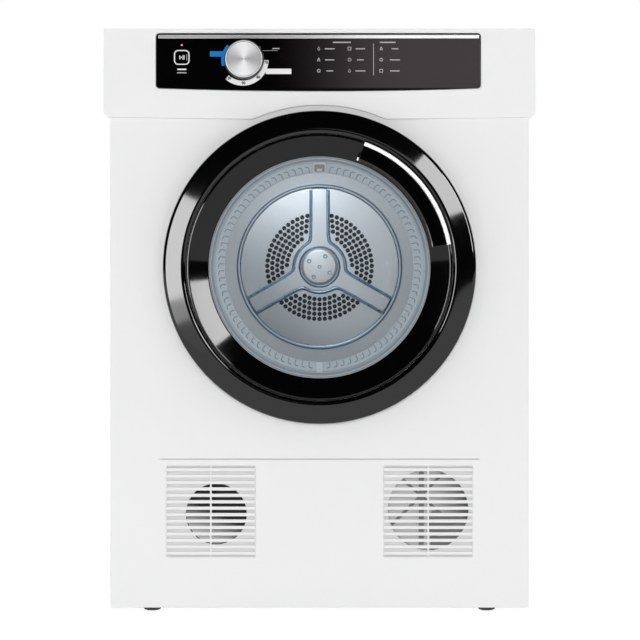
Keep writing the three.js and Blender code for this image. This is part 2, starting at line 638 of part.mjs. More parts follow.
// The blower's scroll opens to the left into the exhaust duct.
const OUTLET_X = 30
function scrollShape(inset) {
  const { x, z } = MOTOR
  const radius = BLOWER.radius - inset
  const [low, high] = [EXHAUST.z - 43 + inset, EXHAUST.z + 43 - inset]
  const shape = new THREE.Shape()
  const lowAngle = Math.asin((low - z) / radius)
  const highAngle = Math.asin((high - z) / radius)
  shape.moveTo(OUTLET_X - (inset ? 5 : 0), low)
  shape.lineTo(x - radius * Math.cos(lowAngle), low)
  shape.absarc(x, z, radius, Math.PI - lowAngle, Math.PI * 2 + Math.PI - highAngle, false)
  shape.lineTo(OUTLET_X - (inset ? 5 : 0), high)
  shape.closePath()
  return shape
}
function blowerHousing() {
  const wall = 2
  const { x, z } = MOTOR
  return cut(
    plateY(scrollShape(0), [BLOWER.front, BLOWER.back], 16),
    plateY(scrollShape(wall), [BLOWER.front + wall, BLOWER.back - wall], 16),
    rodY(45, [BLOWER.front - 1, BLOWER.front + 4], x, z, 24),
  )
}
add('blower_housing', blowerHousing(), DARK, 0.6)

function exhaustDuct() {
  const { x, z, radius } = EXHAUST
  const wall = 1.5
  const y = (BLOWER.front + BLOWER.back) / 2
  const [front, back] = [PANEL_Y + 18, y + 37]
  const across = radius - 4
  const outer = join(rodY(radius + wall, [front, back], x, z, 24),
    rodX(across + wall, [x, OUTLET_X - GAP], y, z, 24))
  const inner = join(rodY(radius, [front - 1, back - wall], x, z, 24),
    rodX(across, [x, OUTLET_X + 1], y, z, 24))
  return cut(outer, inner)
}
add('exhaust_duct', exhaustDuct(), 0x2a2b2d, 0.55)

// Air leaves the loading collar here, goes down behind the front panel and back to the blower.
function suctionDuct() {
  const wall = 2
  const front = PANEL_Y + 9.4
  const shell = (grow, ends) => join(
    box([-62 + grow, 62 - grow], [front + grow, BULKHEAD_Y - GAP - grow], [16 + grow, 322 + ends]),
    box([-62 + grow, 62 - grow], [front + grow, 8 - grow], [16 + grow, 78 - grow]),
    box([-62 + grow, 196 - grow], [-32 + grow, BLOWER.front - GAP - grow], [16 + grow, 78 - grow]),
    box([106 + grow, 196 - grow], [-32 + grow, BLOWER.front - GAP - grow], [16 + grow, 188 - grow]),
  )
  const { x, z } = MOTOR
  const collar = rodY(MOUTH_R + 3 + GAP, [-256, -230], 0, AXIS_Z, ROUND)
  return cut(shell(0, 0), shell(wall, 2), rodY(42, [4, 14], x, z, 24), rodY(9, [-40, 0], x, z), collar)
}
add('suction_duct', suctionDuct(), 0x9b9ea1, 0.6)

// ---- belt drive ----
// A belt runs round wheels {x, z, radius, turn, steps}: turn is 1 inside the loop, -1 outside.
function beltLoop(wheels, offset) {
  const signed = wheels.map((wheel) => {
    const inner = wheel.turn > 0 ? wheel.radius + GAP : -(wheel.radius + GAP + BELT_THICK)
    return { centre: new THREE.Vector2(wheel.x, wheel.z), radius: inner + offset, steps: wheel.steps }
  })
  const spans = signed.map((from, i) => {
    const to = signed[(i + 1) % signed.length]
    const along = to.centre.clone().sub(from.centre)
    const length = along.length()
    along.divideScalar(length)
    const cosine = (from.radius - to.radius) / length
    const sine = Math.sqrt(1 - cosine * cosine)
    const normal = new THREE.Vector2(along.x * cosine + along.y * sine, along.y * cosine - along.x * sine)
    return { from, normal }
  })
  const points = []
  spans.forEach((span, i) => {
    const before = spans[(i + spans.length - 1) % spans.length]
    const { centre, radius, steps } = span.from
    const start = before.normal.angle()
    let sweep = span.normal.angle() - start
    if (radius > 0 && sweep < 0) sweep += Math.PI * 2
    if (radius < 0 && sweep > 0) sweep -= Math.PI * 2
    for (let step = 0; step <= steps; step++) {
      const angle = start + (sweep * step) / steps
      points.push(new THREE.Vector2(centre.x + radius * Math.cos(angle), centre.y + radius * Math.sin(angle)))
    }
  })
  return points
}

function driveBelt() {
  const drum = { x: 0, z: AXIS_Z, radius: DRUM_R / Math.cos(Math.PI / ROUND), turn: 1, steps: ROUND }
  const idler = { ...IDLER, turn: -1, steps: 4 }
  const pulley = { x: MOTOR.x, z: MOTOR.z, radius: PULLEY_R, turn: 1, steps: 12 }
  const wheels = [drum, idler, pulley]
  const shape = new THREE.Shape(beltLoop(wheels, BELT_THICK))
  shape.holes.push(new THREE.Path(beltLoop(wheels, 0)))
  return plateY(shape, [BELT_Y - BELT_WIDTH / 2, BELT_Y + BELT_WIDTH / 2])
}
add('drive_belt', driveBelt(), 0x17181a, 0.8)

function idlerArm() {
  const [low, high] = [IDLER_PIVOT, IDLER]
  const along = new THREE.Vector2(high.x - low.x, high.z - low.z)
  const geometry = new THREE.BoxGeometry(along.length(), 4, 14)
  geometry.rotateY(-along.angle())
  geometry.translate((low.x + high.x) / 2, -66, (low.z + high.z) / 2)
  const eye = rodY(10, [-68, -64], low.x, low.z)
  const tip = rodY(7, [-68, -64], high.x, high.z)
  const pin = rodY(4, [-66, BELT_Y + 8], high.x, high.z)
  return cut(join(solid(geometry), eye, tip, pin), rodY(4 + GAP, [-80, -60], low.x, low.z))
}
add('idler_arm', idlerArm(), STEEL, 0.4, 0.9)

const wheelProfile = (radius, bore, from, to) => [[bore, from], [radius, from], [radius, to], [bore, to]]
const idlerProfile = wheelProfile(IDLER.radius, 4 + GAP, BELT_Y - 7, BELT_Y + 7)
add('idler_pulley', turnedY(idlerProfile, IDLER.x, IDLER.z, 24), 0xe4e2da, 0.5)
for (const [name, x] of [['left_drum_roller', -ROLLER_X], ['right_drum_roller', ROLLER_X]]) {
  add(name, turnedY(wheelProfile(ROLLER.radius - GAP, AXLE_R + GAP, -219, -200), x, ROLLER_Z, 24), DARK, 0.7)
}

// ---- door ----
// Clearance behind the door ring for the hinge.
const NOTCH_HALF = HINGE_HALF + 4
const notchSpan = [AXIS_Z - NOTCH_HALF, AXIS_Z + NOTCH_HALF]
const hingeNotch = box([-DOOR_R - 5, -186], [DOOR_Y + 3, DOOR_BACK + 5], notchSpan)
add('door_outer_ring', cut(turnedY([
  [RING_R, -272], [RING_R, -288], [RING_R + 3, DOOR_Y], [DOOR_R - 9, -288.4], [DOOR_R - 4, -287],
  [DOOR_R - 1, -284.6], [DOOR_R, -281], [DOOR_R, DOOR_BACK], [DOOR_R - 2, DOOR_BACK], [DOOR_R - 2, -281],
  [DOOR_R - 5, -284.6], [DOOR_R - 9, -286.2], [RING_R + 2.2, -287.6], [RING_R + 2.2, -272],
]), hingeNotch), BLACK, 0.06)
add('door_inner_bezel', turnedY([
  [WINDOW_R, -277.6], [BEZEL_R - 2, -285.8], [BEZEL_R, -285], [BEZEL_R, -272], [BEZEL_R - 2.2, -272],
  [BEZEL_R - 2.2, -283], [WINDOW_R + 1, -275.4],
]), BLACK, 0.06)

const HANDLE = { from: 10, to: 70, inner: 157, split: 178.7, outer: 184.5 }
const handleArc = (inner, outer) => arcBand(inner, outer, HANDLE.from, HANDLE.to)
add('door_handle', plateY(handleArc(HANDLE.inner, HANDLE.split), [-296, -286 - GAP], 10), BLACK, 0.08)
add('handle_trim', plateY(handleArc(HANDLE.split + GAP, HANDLE.outer), [-294, -286 - GAP], 10),
  0xd9dadc, 0.12, 1)

// The window is a flat rim run back into a bowl that keeps the clothes off the door.
add('door_glass', turnedY([
  [0, -208], [104, -212], [112.5, -222], [BOWL_R, -273.5], [WINDOW_R - GAP, -273.5],
  [WINDOW_R - GAP, -276.5], [BOWL_R - 3, -276.5], [109.5, -222.5], [102, -215.5], [0, -211.5],
]), 0xcfdfe8, 0.03)

const PLUG_R = 172
function doorBackFrame() {
  const frame = turnedY([
    [150, -273], [WINDOW_R + 3, -273], [WINDOW_R + 3, -268], [DOOR_R - 4, -268], [DOOR_R - 4, -265],
    [PLUG_R, -265], [PLUG_R, -247], [PLUG_R - 3, -247], [PLUG_R - 3, -265], [150, -265],
  ])
  return cut(frame, box([-DOOR_R, -186], [-300, -200], notchSpan))
}
add('door_back_frame', doorBackFrame(), 0xc9cbcd, 0.5)
add('door_seal', turnedY([
  [176, -265 + GAP], [183, -265 + GAP], [182, -258 - GAP], [177, -258 - GAP],
]), 0x3a3b3d, 0.9)

const PIN_R = 2
const EYE_R = 3
function hingeLeaf() {
  const [front, back] = [DOOR_Y + 4.4, DOOR_Y + 6]
  const plate = box([HINGE_X + 4, -192], [front, back], [AXIS_Z - HINGE_HALF, AXIS_Z + HINGE_HALF])
  const ears = [-1, 1].map((sign) => {
    const z = AXIS_Z + sign * (HINGE_HALF - 3)
    const span = [z - 3, z + 3]
    return join(box([HINGE_X, HINGE_X + 6], [back - 1, HINGE_Y], span), rodZ(EYE_R, span, HINGE_X, HINGE_Y))
  })
  const pin = rodZ(PIN_R, [AXIS_Z - HINGE_HALF + 2, AXIS_Z + HINGE_HALF - 2], HINGE_X, HINGE_Y)
  return join(plate, ...ears, pin)
}
add('hinge_leaf', hingeLeaf(), STEEL, 0.35, 0.9)

// Two gooseneck arms reach into the door ring and hold the pin.
function hingeBracket() {
  const face = PANEL_Y - GAP
  const plate = box([HINGE_X + 4, -191], [face - 2, face], [AXIS_Z - HINGE_HALF, AXIS_Z + HINGE_HALF])
  const arms = [-1, 1].map((sign) => {
    const z = AXIS_Z + sign * 18
    const span = [z - 4, z + 4]
    return join(
      rodZ(EYE_R + 0.5, span, HINGE_X, HINGE_Y),
      box([HINGE_X, HINGE_X + 14], [HINGE_Y - 2.5, HINGE_Y + 2.5], span),
      box([HINGE_X + 9, HINGE_X + 14], [HINGE_Y - 2.5, face - 1], span),
    )
  })
  return cut(join(plate, ...arms), rodZ(PIN_R + GAP, [400, 560], HINGE_X, HINGE_Y))
}
add('hinge_bracket', hingeBracket(), STEEL, 0.35, 0.9)

add('door_striker', join(
  box([198.5, 203.5], [-265 + GAP, -248], [AXIS_Z - 7, AXIS_Z + 7]),
  box([196.8, 203.5], [-251, -248], [AXIS_Z - 7, AXIS_Z + 7])), 0xe0e0e0, 0.5)
add('door_catch', cut(
  box([190, 212], [PANEL_Y + SHEET + GAP, -240], [AXIS_Z - 22, AXIS_Z + 22]),
  box([195.5, 206.5], [-263, -243], [AXIS_Z - 11, AXIS_Z + 11])), 0xe8e8e8, 0.5)

// The lint filter is a ribbed ring, which pulls off the back of the door.
function lintFilter() {
  const [inner, outer, front, back] = [131, 147, -264, -240]
  let ring = cut(turnedY([[inner, front], [outer, front], [outer, back], [inner, back]]),
    turnedY([[inner + 2, front + 3], [outer - 2, front + 3], [outer - 2, back + 1], [inner + 2, back + 1]]))
  const windows = 8
  for (let i = 0; i < windows; i++) {
    const geometry = new THREE.BoxGeometry(12, 12, 60)
    geometry.translate(outer, (front + back) / 2 + 2, 0)
    geometry.rotateY(THREE.MathUtils.degToRad((i * 360) / windows))
    geometry.translate(0, 0, AXIS_Z)
    ring = ring.subtract(solid(geometry))
  }
  return ring
}
add('lint_filter', lintFilter(), 0xb7c6d2, 0.4)

export default dryer
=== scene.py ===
# A free-standing vented clothes dryer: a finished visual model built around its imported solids.
from math import acos, asin, cos, degrees, hypot, pi, radians, sin, sqrt

import bpy
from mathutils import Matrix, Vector
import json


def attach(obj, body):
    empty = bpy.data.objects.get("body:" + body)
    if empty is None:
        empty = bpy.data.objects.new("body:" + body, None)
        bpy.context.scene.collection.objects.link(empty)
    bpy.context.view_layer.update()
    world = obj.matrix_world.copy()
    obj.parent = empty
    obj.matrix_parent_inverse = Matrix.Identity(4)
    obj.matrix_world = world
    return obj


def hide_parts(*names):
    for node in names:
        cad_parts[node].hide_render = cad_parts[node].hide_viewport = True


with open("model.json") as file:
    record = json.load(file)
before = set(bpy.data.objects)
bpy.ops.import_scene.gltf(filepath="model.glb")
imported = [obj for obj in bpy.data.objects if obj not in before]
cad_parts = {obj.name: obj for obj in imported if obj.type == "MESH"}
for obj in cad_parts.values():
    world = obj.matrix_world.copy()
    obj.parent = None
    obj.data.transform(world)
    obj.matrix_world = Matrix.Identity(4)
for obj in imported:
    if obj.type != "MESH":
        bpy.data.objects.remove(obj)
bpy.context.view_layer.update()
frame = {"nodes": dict(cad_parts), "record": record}  # the imported nodes, and the record that lists the bodies
nodes = frame["nodes"]
nodeSlot = {part["node"]: part["material_slot"] for part in frame["record"]["subparts"]}
nodeBody = {node: body for body, members in frame["record"]["behaviour"]["bodies"].items() for node in members}
mm = 0.001
axisZ = 479  # the door and the drum share this height, in millimetres
panelFront = -262  # face of the front panel
fasciaFront = -268
windowFront = -268.7
white = (1, 1, 1, 1)
print("frame loaded:", len(nodes), "solids")


def select(*pieces):
    if bpy.context.object and bpy.context.object.mode != "OBJECT":
        bpy.ops.object.mode_set(mode="OBJECT")
    bpy.ops.object.select_all(action="DESELECT")
    for piece in pieces:
        piece.select_set(True)
    if pieces:
        bpy.context.view_layer.objects.active = pieces[-1]


def polar(radius, angle, x=0, z=axisZ):
    turn = radians(angle)
    return x + radius * cos(turn), z + radius * sin(turn)


def arc(radius, start, end, steps, x=0, z=axisZ):
    return [polar(radius, start + (end - start) * i / steps, x, z) for i in range(steps + 1)]


def linked(name, data):
    piece = bpy.data.objects.new(name, data)
    bpy.context.scene.collection.objects.link(piece)
    return piece


# Turns a lamp or the camera to look along a direction.
def facing(way):
    return Vector(way).to_track_quat("-Z", "Y").to_euler()


# An input takes a number, a colour, a socket or another node's first output.
def feed(tree, node, inputs):
    for label, value in inputs.items():
        if isinstance(value, bpy.types.Node):
            value = value.outputs[0]
        if isinstance(value, bpy.types.NodeSocket):
            tree.links.new(value, node.inputs[label])
        else:
            node.inputs[label].default_value = value


def addNode(tree, kind, inputs=None, **settings):
    node = tree.nodes.new("ShaderNode" + kind)
    for name, value in settings.items():
        setattr(node, name, value)
    feed(tree, node, inputs or {})
    return node


# The X, Y and Z of a place on the piece, or of a ray's direction.
def axes(tree, source="Object"):
    return addNode(tree, "SeparateXYZ", {"Vector": addNode(tree, "TexCoord").outputs[source]}).outputs


def emptyTree(owner):
    owner.use_nodes = True
    owner.node_tree.nodes.clear()
    return owner.node_tree


# camera and light

view = dict(distance=6.93, aim=(0.0007, -0.268, 0.4059), height=0.492, frameWidth=0.8883, sensor=36)


def placeCamera(distance, aim, height, frameWidth, sensor):
    aim = Vector(aim)
    place = Vector((aim.x, aim.y - distance, height))
    data = bpy.data.cameras.new("studioCamera")
    data.sensor_width = sensor
    data.lens = sensor * (aim - place).length / frameWidth
    data.clip_end = 60
    camera = linked("studioCamera", data)
    camera.location = place
    camera.rotation_euler = facing(aim - place)
    bpy.context.scene.camera = camera


# Suns: direction, energy and spread. Cards: start and end angle, inner and outer reach, strength.
studio = dict(
    world=0.40, mirrored=dict(start=0.25, end=0.8, glow=0.9), floorHalf=14, floorGlow=0.85, floorShine=1.08,
    suns=dict(frontSun=((0, 1, -0.095), 1.28, 10), leftSun=((1, 0, -0.1), 1.2, 24), rightSun=((-1, 0, -0.1), 1.2, 24),
              backSun=((0, -1, -0.1), 1.2, 24), topSun=((0, 0, -1), 0.6, 24)),
    cards=dict(rightCard=(21, 47, 0.55, 1.4, 13.5), farCard=(6, 37, 1.42, 1.9, 21),
               leftCard=(152, 193, 0.42, 1.3, 14.5), leftFade=(193, 202, 0.42, 1.3, 5.5),
               leftTail=(202, 216, 0.42, 1.3, 1.3)),
    cardDepth=-3, cardSteps=12,
    gradient=dict(left=-0.45, right=0.42, low=0.80, high=0.96, dark=-0.12, light=0.19, glow=1.35),
)
drumLamp = dict(place=(-0.04, -0.08, 0.66), aim=(0, 0.215, 0.52), shape="DISK", size=0.16, energy=0.58,
                color=(0.95, 0.975, 1))


# A glowing card that only shows in reflections; it returns the parts that a gradient needs.
def glowCard(name, corners, faces, strength):
    mesh = bpy.data.meshes.new(name)
    mesh.from_pydata(corners, [], faces)
    card = linked(name, mesh)
    material = bpy.data.materials.new(name)
    tree = emptyTree(material)
    glow = addNode(tree, "Emission", {"Strength": strength})
    addNode(tree, "OutputMaterial", {"Surface": glow})
    mesh.materials.append(material)
    for ray in ("camera", "diffuse", "transmission", "shadow"):
        setattr(card, "visible_" + ray, False)
    return tree, glow


def reflectionCards():
    depth, steps = studio["cardDepth"], studio["cardSteps"]
    for name, (start, end, inner, outer, strength) in studio["cards"].items():
        corners = [(x, depth, z) for reach in (inner, outer) for x, z in arc(reach, start, end, steps, 0, axisZ * mm)]
        faces = [(i, i + 1, steps + 2 + i, steps + 1 + i) for i in range(steps)]
        glowCard(name, corners, faces, strength)
    left, right, low, high, dark, light, brightness = studio["gradient"].values()
    corners = [(left, depth, low), (right, depth, low), (right, depth, high), (left, depth, high)]
    tree, glow = glowCard("gradientCard", corners, [(0, 1, 2, 3)], 0)
    fade = {"Value": axes(tree)["X"], "From Min": dark, "From Max": light, "To Max": brightness}
    feed(tree, glow, {"Strength": addNode(tree, "MapRange", fade, interpolation_type="SMOOTHERSTEP")})


def studioWorld():
    world = bpy.data.worlds.new("studioWorld")
    bpy.context.scene.world = world
    tree = emptyTree(world)
    start, end, brightness = studio["mirrored"].values()
    path = addNode(tree, "LightPath")
    seen = addNode(tree, "MapRange", {"Value": path.outputs["Is Camera Ray"], "To Min": studio["world"]})
    soft = addNode(tree, "Background", {"Color": white, "Strength": seen})  # white to the camera, dimmer as a light
    fade = {"Value": axes(tree, "Generated")["Y"], "From Min": start, "From Max": end, "To Max": brightness}
    side = addNode(tree, "MapRange", fade, interpolation_type="SMOOTHSTEP")
    gloss = addNode(tree, "Background", {"Color": white, "Strength": side})  # dark in front, white behind
    mix = addNode(tree, "MixShader", {"Fac": path.outputs["Is Glossy Ray"], 1: soft, 2: gloss})
    addNode(tree, "OutputWorld", {"Surface": mix})


def studioFloor():
    select()
    bpy.ops.mesh.primitive_plane_add(size=2 * studio["floorHalf"], location=(0, 0, 0))
    floor = bpy.context.object
    floor.name = "studioFloor"
    material = bpy.data.materials.new("studioFloor")
    tree = emptyTree(material)
    path = addNode(tree, "LightPath")
    seen = addNode(tree, "Math", {0: path.outputs["Is Camera Ray"], 1: studio["floorGlow"]}, operation="MULTIPLY")
    share = addNode(tree, "Math", {0: seen, 1: path.outputs["Is Glossy Ray"]}, operation="MAXIMUM")
    paint = addNode(tree, "BsdfDiffuse", {"Color": white})
    glow = addNode(tree, "Emission", {"Strength": studio["floorShine"]})
    mix = addNode(tree, "MixShader", {"Fac": share, 1: paint, 2: glow})
    addNode(tree, "OutputMaterial", {"Surface": mix})
    floor.data.materials.append(material)


def addLamp(name, kind, way, hiddenFrom, **settings):
    data = bpy.data.lights.new(name, kind)
    for label, value in settings.items():
        setattr(data, label, value)
    lamp = linked(name, data)
    lamp.rotation_euler = facing(way)
    for ray in hiddenFrom:
        setattr(lamp, "visible_" + ray, False)
    return lamp


def drumLight(place, aim, **settings):
    lamp = addLamp("drumLight", "AREA", Vector(aim) - Vector(place), ("camera", "transmission"), **settings)
    lamp.location = place


# Straight lights for each side keep the white faces even.
def studioSuns():
    for name, (way, energy, spread) in studio["suns"].items():
        addLamp(name, "SUN", way, ["glossy"], energy=energy, angle=radians(spread))


placeCamera(**view)
studioWorld()
studioSuns()
studioFloor()
reflectionCards()
drumLight(**drumLamp)
bpy.context.scene.view_settings.view_transform = "Standard"
print("camera and light placed")

# finishes


def mathNode(tree, operation, first, second=None):
    values = {0: first} if second is None else {0: first, 1: second}
    return addNode(tree, "Math", values, operation=operation).outputs["Value"]


def noiseNode(tree, vector, scale, detail=3, roughness=0.5):
    values = {"Vector": vector, "Scale": scale, "Detail": detail, "Roughness": roughness}
    return addNode(tree, "TexNoise", values).outputs[0]


def rangeNode(tree, value, low, high, fromLow=0, fromHigh=1):
    values = {"Value": value, "From Min": fromLow, "From Max": fromHigh, "To Min": low, "To Max": high}
    return addNode(tree, "MapRange", values).outputs["Result"]


def mixColour(tree, factor, first, second, blend="MIX"):
    values = {0: factor, 6: first, 7: second}  # the Mix node's factor and its two colours
    return addNode(tree, "Mix", values, data_type="RGBA", blend_type=blend).outputs[2]


# The weighted sum of two values, and a shade that swings about 1 as a value swings about a half.
def blended(tree, first, share, second, rest):
    return mathNode(tree, "ADD", mathNode(tree, "MULTIPLY", first, share), mathNode(tree, "MULTIPLY", second, rest))


def swing(tree, value, amount, middle=1):
    return mathNode(tree, "ADD", mathNode(tree, "MULTIPLY", mathNode(tree, "SUBTRACT", value, 0.5), amount), middle)


# Each effect gives a shade for its colour, a height and a roughness.
def grainEffect(tree, given):  # paint and moulded plastic: a slow drift of shade and a fine height
    fine = noiseNode(tree, given["Vector"], given["Scale"], 2)
    slow = noiseNode(tree, given["Vector"], 6)
    return swing(tree, slow, given["Drift"]), fine, swing(tree, slow, 0.08, given["Gloss"])


def streakEffect(tree, given):  # rolled or drawn metal: long streaks along one axis
    lines = noiseNode(tree, given["Vector"], 260, 2)
    both = blended(tree, lines, 0.7, noiseNode(tree, given["Vector"], 7, 2), 0.3)
    return swing(tree, both, given["Streak"]), both, swing(tree, lines, 0.2, given["Gloss"])


def spangleEffect(tree, given):  # galvanised sheet: flat crystals of slightly different grey
    cells = addNode(tree, "TexVoronoi", {"Vector": given["Vector"], "Scale": given["Scale"], "Randomness": 1})
    grey = addNode(tree, "RGBToBW", {"Color": cells.outputs["Color"]}).outputs["Val"]
    return swing(tree, grey, given["Contrast"]), cells.outputs["Distance"], rangeNode(tree, grey, 0.32, 0.5)


def fibreEffect(tree, given):  # pressed felt: tangled short fibres
    tangle = noiseNode(tree, given["Vector"], given["Scale"], 6, 0.7)
    both = blended(tree, tangle, 0.6, noiseNode(tree, given["Vector"], 40, 4), 0.4)
    return rangeNode(tree, both, 0.6, 1.35, 0.25, 0.75), both, rangeNode(tree, both, 0.88, 1)


def effectGroup(name, build, **values):
    group = bpy.data.node_groups.new(name, "ShaderNodeTree")
    face = group.interface
    face.new_socket("Vector", in_out="INPUT", socket_type="NodeSocketVector")
    face.new_socket("Colour", in_out="INPUT", socket_type="NodeSocketColor").default_value = (0.8, 0.8, 0.8, 1)
    for label, value in values.items():
        face.new_socket(label, in_out="INPUT", socket_type="NodeSocketFloat").default_value = value
    for label, kind in (("Colour", "Color"), ("Height", "Float"), ("Roughness", "Float")):
        face.new_socket(label, in_out="OUTPUT", socket_type="NodeSocket" + kind)
    given, result = group.nodes.new("NodeGroupInput"), group.nodes.new("NodeGroupOutput")
    shade, height, rough = build(group, given.outputs)
    tint = addNode(group, "CombineColor", {channel: shade for channel in range(3)})
    colour = mixColour(group, 1, given.outputs["Colour"], tint, "MULTIPLY")
    for label, socket in (("Colour", colour), ("Height", height), ("Roughness", rough)):
        group.links.new(socket, result.inputs[label])
    return group


effects = dict(
    grain=effectGroup("fineGrain", grainEffect, Scale=900, Drift=0.02, Gloss=0.4),
    streaks=effectGroup("rolledStreaks", streakEffect, Streak=0.15, Gloss=0.3),
    spangle=effectGroup("zincSpangle", spangleEffect, Scale=90, Contrast=0.25),
    fibre=effectGroup("feltFibre", fibreEffect, Scale=400),
)


def newFinish(name, look):
    material = bpy.data.materials.new(name)
    material.use_nodes = True
    tree = material.node_tree
    place = addNode(tree, "Mapping", {"Vector": addNode(tree, "TexCoord").outputs["Object"],
                                      "Scale": look.get("stretch", (1, 1, 1))})
    given = {label: look[label] for label in ("Scale", "Drift", "Gloss", "Streak", "Contrast") if label in look}
    effect = addNode(tree, "Group", {"Vector": place, "Colour": (*look["colour"], 1), **given},
                     node_tree=effects[look["effect"]])
    bump = addNode(tree, "Bump", {"Strength": look["bump"], "Distance": look.get("depth", 0.0002),
                                  "Height": effect.outputs["Height"]})
    more = dict(metallic="Metallic", specular="Specular IOR Level", tint="Specular Tint", alpha="Alpha")
    feed(tree, tree.nodes["Principled BSDF"], {
        "Base Color": effect.outputs["Colour"], "Roughness": effect.outputs["Roughness"], "Normal": bump,
        **{label: look[word] for word, label in more.items() if word in look}})
    return material


def grain(colour, scale=900, drift=0.1, gloss=0.5, bump=0.1, **more):
    return dict(effect="grain", colour=colour, Scale=scale, Drift=drift, Gloss=gloss, bump=bump, **more)


def streaks(colour, streak, gloss, bump, metallic, **more):
    return dict(effect="streaks", colour=colour, Streak=streak, Gloss=gloss, bump=bump, metallic=metallic, **more)


alongX, aroundY = (0.05, 1, 1), (1, 0.08, 1)
looks = dict(
    white_steel=grain((0.835, 0.838, 0.842), 1400, 0.006, 0.46, 0.03, specular=0.14),
    white_plastic=grain((0.835, 0.838, 0.840), 2200, 0.005, 0.46, 0.03, specular=0.14),
    black_gloss=grain((0.0012, 0.0012, 0.0013), 300, 0.1, 0.05, 0),
    windowGloss=grain((0.0014, 0.0012, 0.0013), 300, 0.1, 0.05, 0, tint=(1, 0.86, 0.88, 1)),
    bezelGloss=grain((0.0012, 0.0012, 0.0013), 300, 0.1, 0.05, 0, specular=0.32),
    black_plastic=grain((0.012, 0.012, 0.013), 1800, 0.1, 0.5, 0.15),
    grey_plastic=grain((0.52, 0.54, 0.56), 1600, 0.03, 0.42, 0.1),
    filter_plastic=grain((0.43, 0.495, 0.545), 1500, 0.04, 0.35, 0.08),
    # darker blue-grey for the lint filter's hooked ribs, as painted shade
    filterRibPaintedShade=grain((0.17, 0.22, 0.27)),
    filterRim=grain((0.27, 0.32, 0.36)),
    clear_window=grain((0.10, 0.15, 0.19), 60, 0.02, 0.08, 0, alpha=0.05, specular=0.3),
    # a grey a little below white for the plates behind the grilles, as painted shade in the recess
    ventPaintedShade=grain((0.77, 0.77, 0.77), 1800, 0.02, 0.5, 0.05),
    guardShade=grain((0.20, 0.20, 0.20)),
    # near black, as painted shadow inside holes and recesses and behind the drum's perforations
    paintedRecessShadow=grain((0.006, 0.006, 0.007), 500, 0.3, 0.7, 0.1),
    redLamp=grain((0.8, 0.25, 0.3), 500, 0.1, 0.2, 0.05),
    printWhite=grain((0.80, 0.80, 0.80), 4000, 0.02, 0.45, 0.02),
    printGrey=grain((0.36, 0.36, 0.36), 4000, 0.02, 0.45, 0.02),
    printBlue=grain((0.002, 0.18, 0.57), 4000, 0.02, 0.3, 0.02, specular=0.12),
    printInk=grain((0.02, 0.02, 0.022), 4000, 0.05, 0.45, 0.02),
    seal_rubber=grain((0.035, 0.036, 0.038), 1200, 0.2, 0.7, 0.3),
    belt_rubber=grain((0.014, 0.014, 0.015), 900, 0.3, 0.65, 0.3),
    board_green=grain((0.03, 0.16, 0.06), 500, 0.2, 0.35, 0.1),
    bright_trim=streaks((0.86, 0.865, 0.87), 0.04, 0.3, 0, 0.25, stretch=alongX),
    brushedBar=streaks((0.82, 0.82, 0.82), 0.03, 0.06, 0, 0.5, stretch=alongX),
    spun_aluminium=streaks((0.80, 0.80, 0.81), 0.06, 0.25, 0.05, 1),
    spunFace=streaks((0.62, 0.62, 0.625), 0.03, 0.34, 0.02, 0.35),
    drum_steel=streaks((0.40, 0.433, 0.46), 0.05, 0.42, 0.03, 0.92, stretch=aroundY),
    hubSteel=streaks((0.50, 0.54, 0.57), 0.05, 0.46, 0.03, 0.85, stretch=aroundY),
    drumRim=streaks((0.49, 0.525, 0.555), 0.05, 0.62, 0.03, 0.55, stretch=aroundY),
    # a darker blue copy of the drum steel, put on slopes, beads, the hub's groove, rivets and bolt as painted shade
    drumEdgePaintedShade=streaks((0.19, 0.32, 0.45), 0.1, 0.3, 0.03, 0.85),
    machined_steel=streaks((0.56, 0.57, 0.59), 0.14, 0.28, 0.05, 1),
    bearing_bronze=streaks((0.55, 0.38, 0.18), 0.12, 0.32, 0.05, 1),
    element_steel=streaks((0.30, 0.27, 0.25), 0.3, 0.45, 0.08, 1),
    zinc_steel=dict(effect="spangle", colour=(0.62, 0.64, 0.66), Scale=130, Contrast=0.22, bump=0.03, metallic=0.85),
    felt=dict(effect="fibre", colour=(0.30, 0.29, 0.27), Scale=900, bump=0.8, depth=0.0008),
)
finishes = {name: newFinish(name, look) for name, look in looks.items()}
glowing = finishes["redLamp"].node_tree.nodes["Principled BSDF"].inputs
glowing["Emission Color"].default_value = (1, 0.42, 0.5, 1)
glowing["Emission Strength"].default_value = 0.7

# Painted shade and light: finishes whose colour drifts from one to another across a piece, dark where shade falls and
# pale where light falls.
fades = dict(
    ductShade=dict(near=(0.006, 0.006, 0.007), far=(0.84, 0.84, 0.85), up=1, across=0.5, start=0.064, end=0.022),
    shieldShade=dict(near=(0.64, 0.64, 0.64), far=(0.09, 0.09, 0.09), up=0, across=1, start=0.148, end=0.206),
)
for name, look in fades.items():
    finishes[name] = newFinish(name, grain(look["near"], 700, 0.1, 0.5, 0.05))
    tree = finishes[name].node_tree
    place = axes(tree)
    lean = blended(tree, place["Z"], look["up"], place["X"], look["across"])
    shade = rangeNode(tree, lean, 0, 1, look["start"], look["end"])
    colour = mixColour(tree, shade, (*look["near"], 1), (*look["far"], 1))
    feed(tree, tree.nodes["Principled BSDF"], {"Base Color": colour})

for name, node in nodes.items():
    for place in node.material_slots:
        place.material = finishes[nodeSlot[name]]
print("finishes made:", len(finishes))

# modelling helpers; lengths given to them are in millimetres


def applied(piece, kind, **settings):
    select(piece)
    bpy.ops.object.modifier_add(type=kind)
    modifier = piece.modifiers[-1]
    for name, value in settings.items():
        setattr(modifier, name, value)
    bpy.ops.object.modifier_apply(modifier=modifier.name)
    return piece


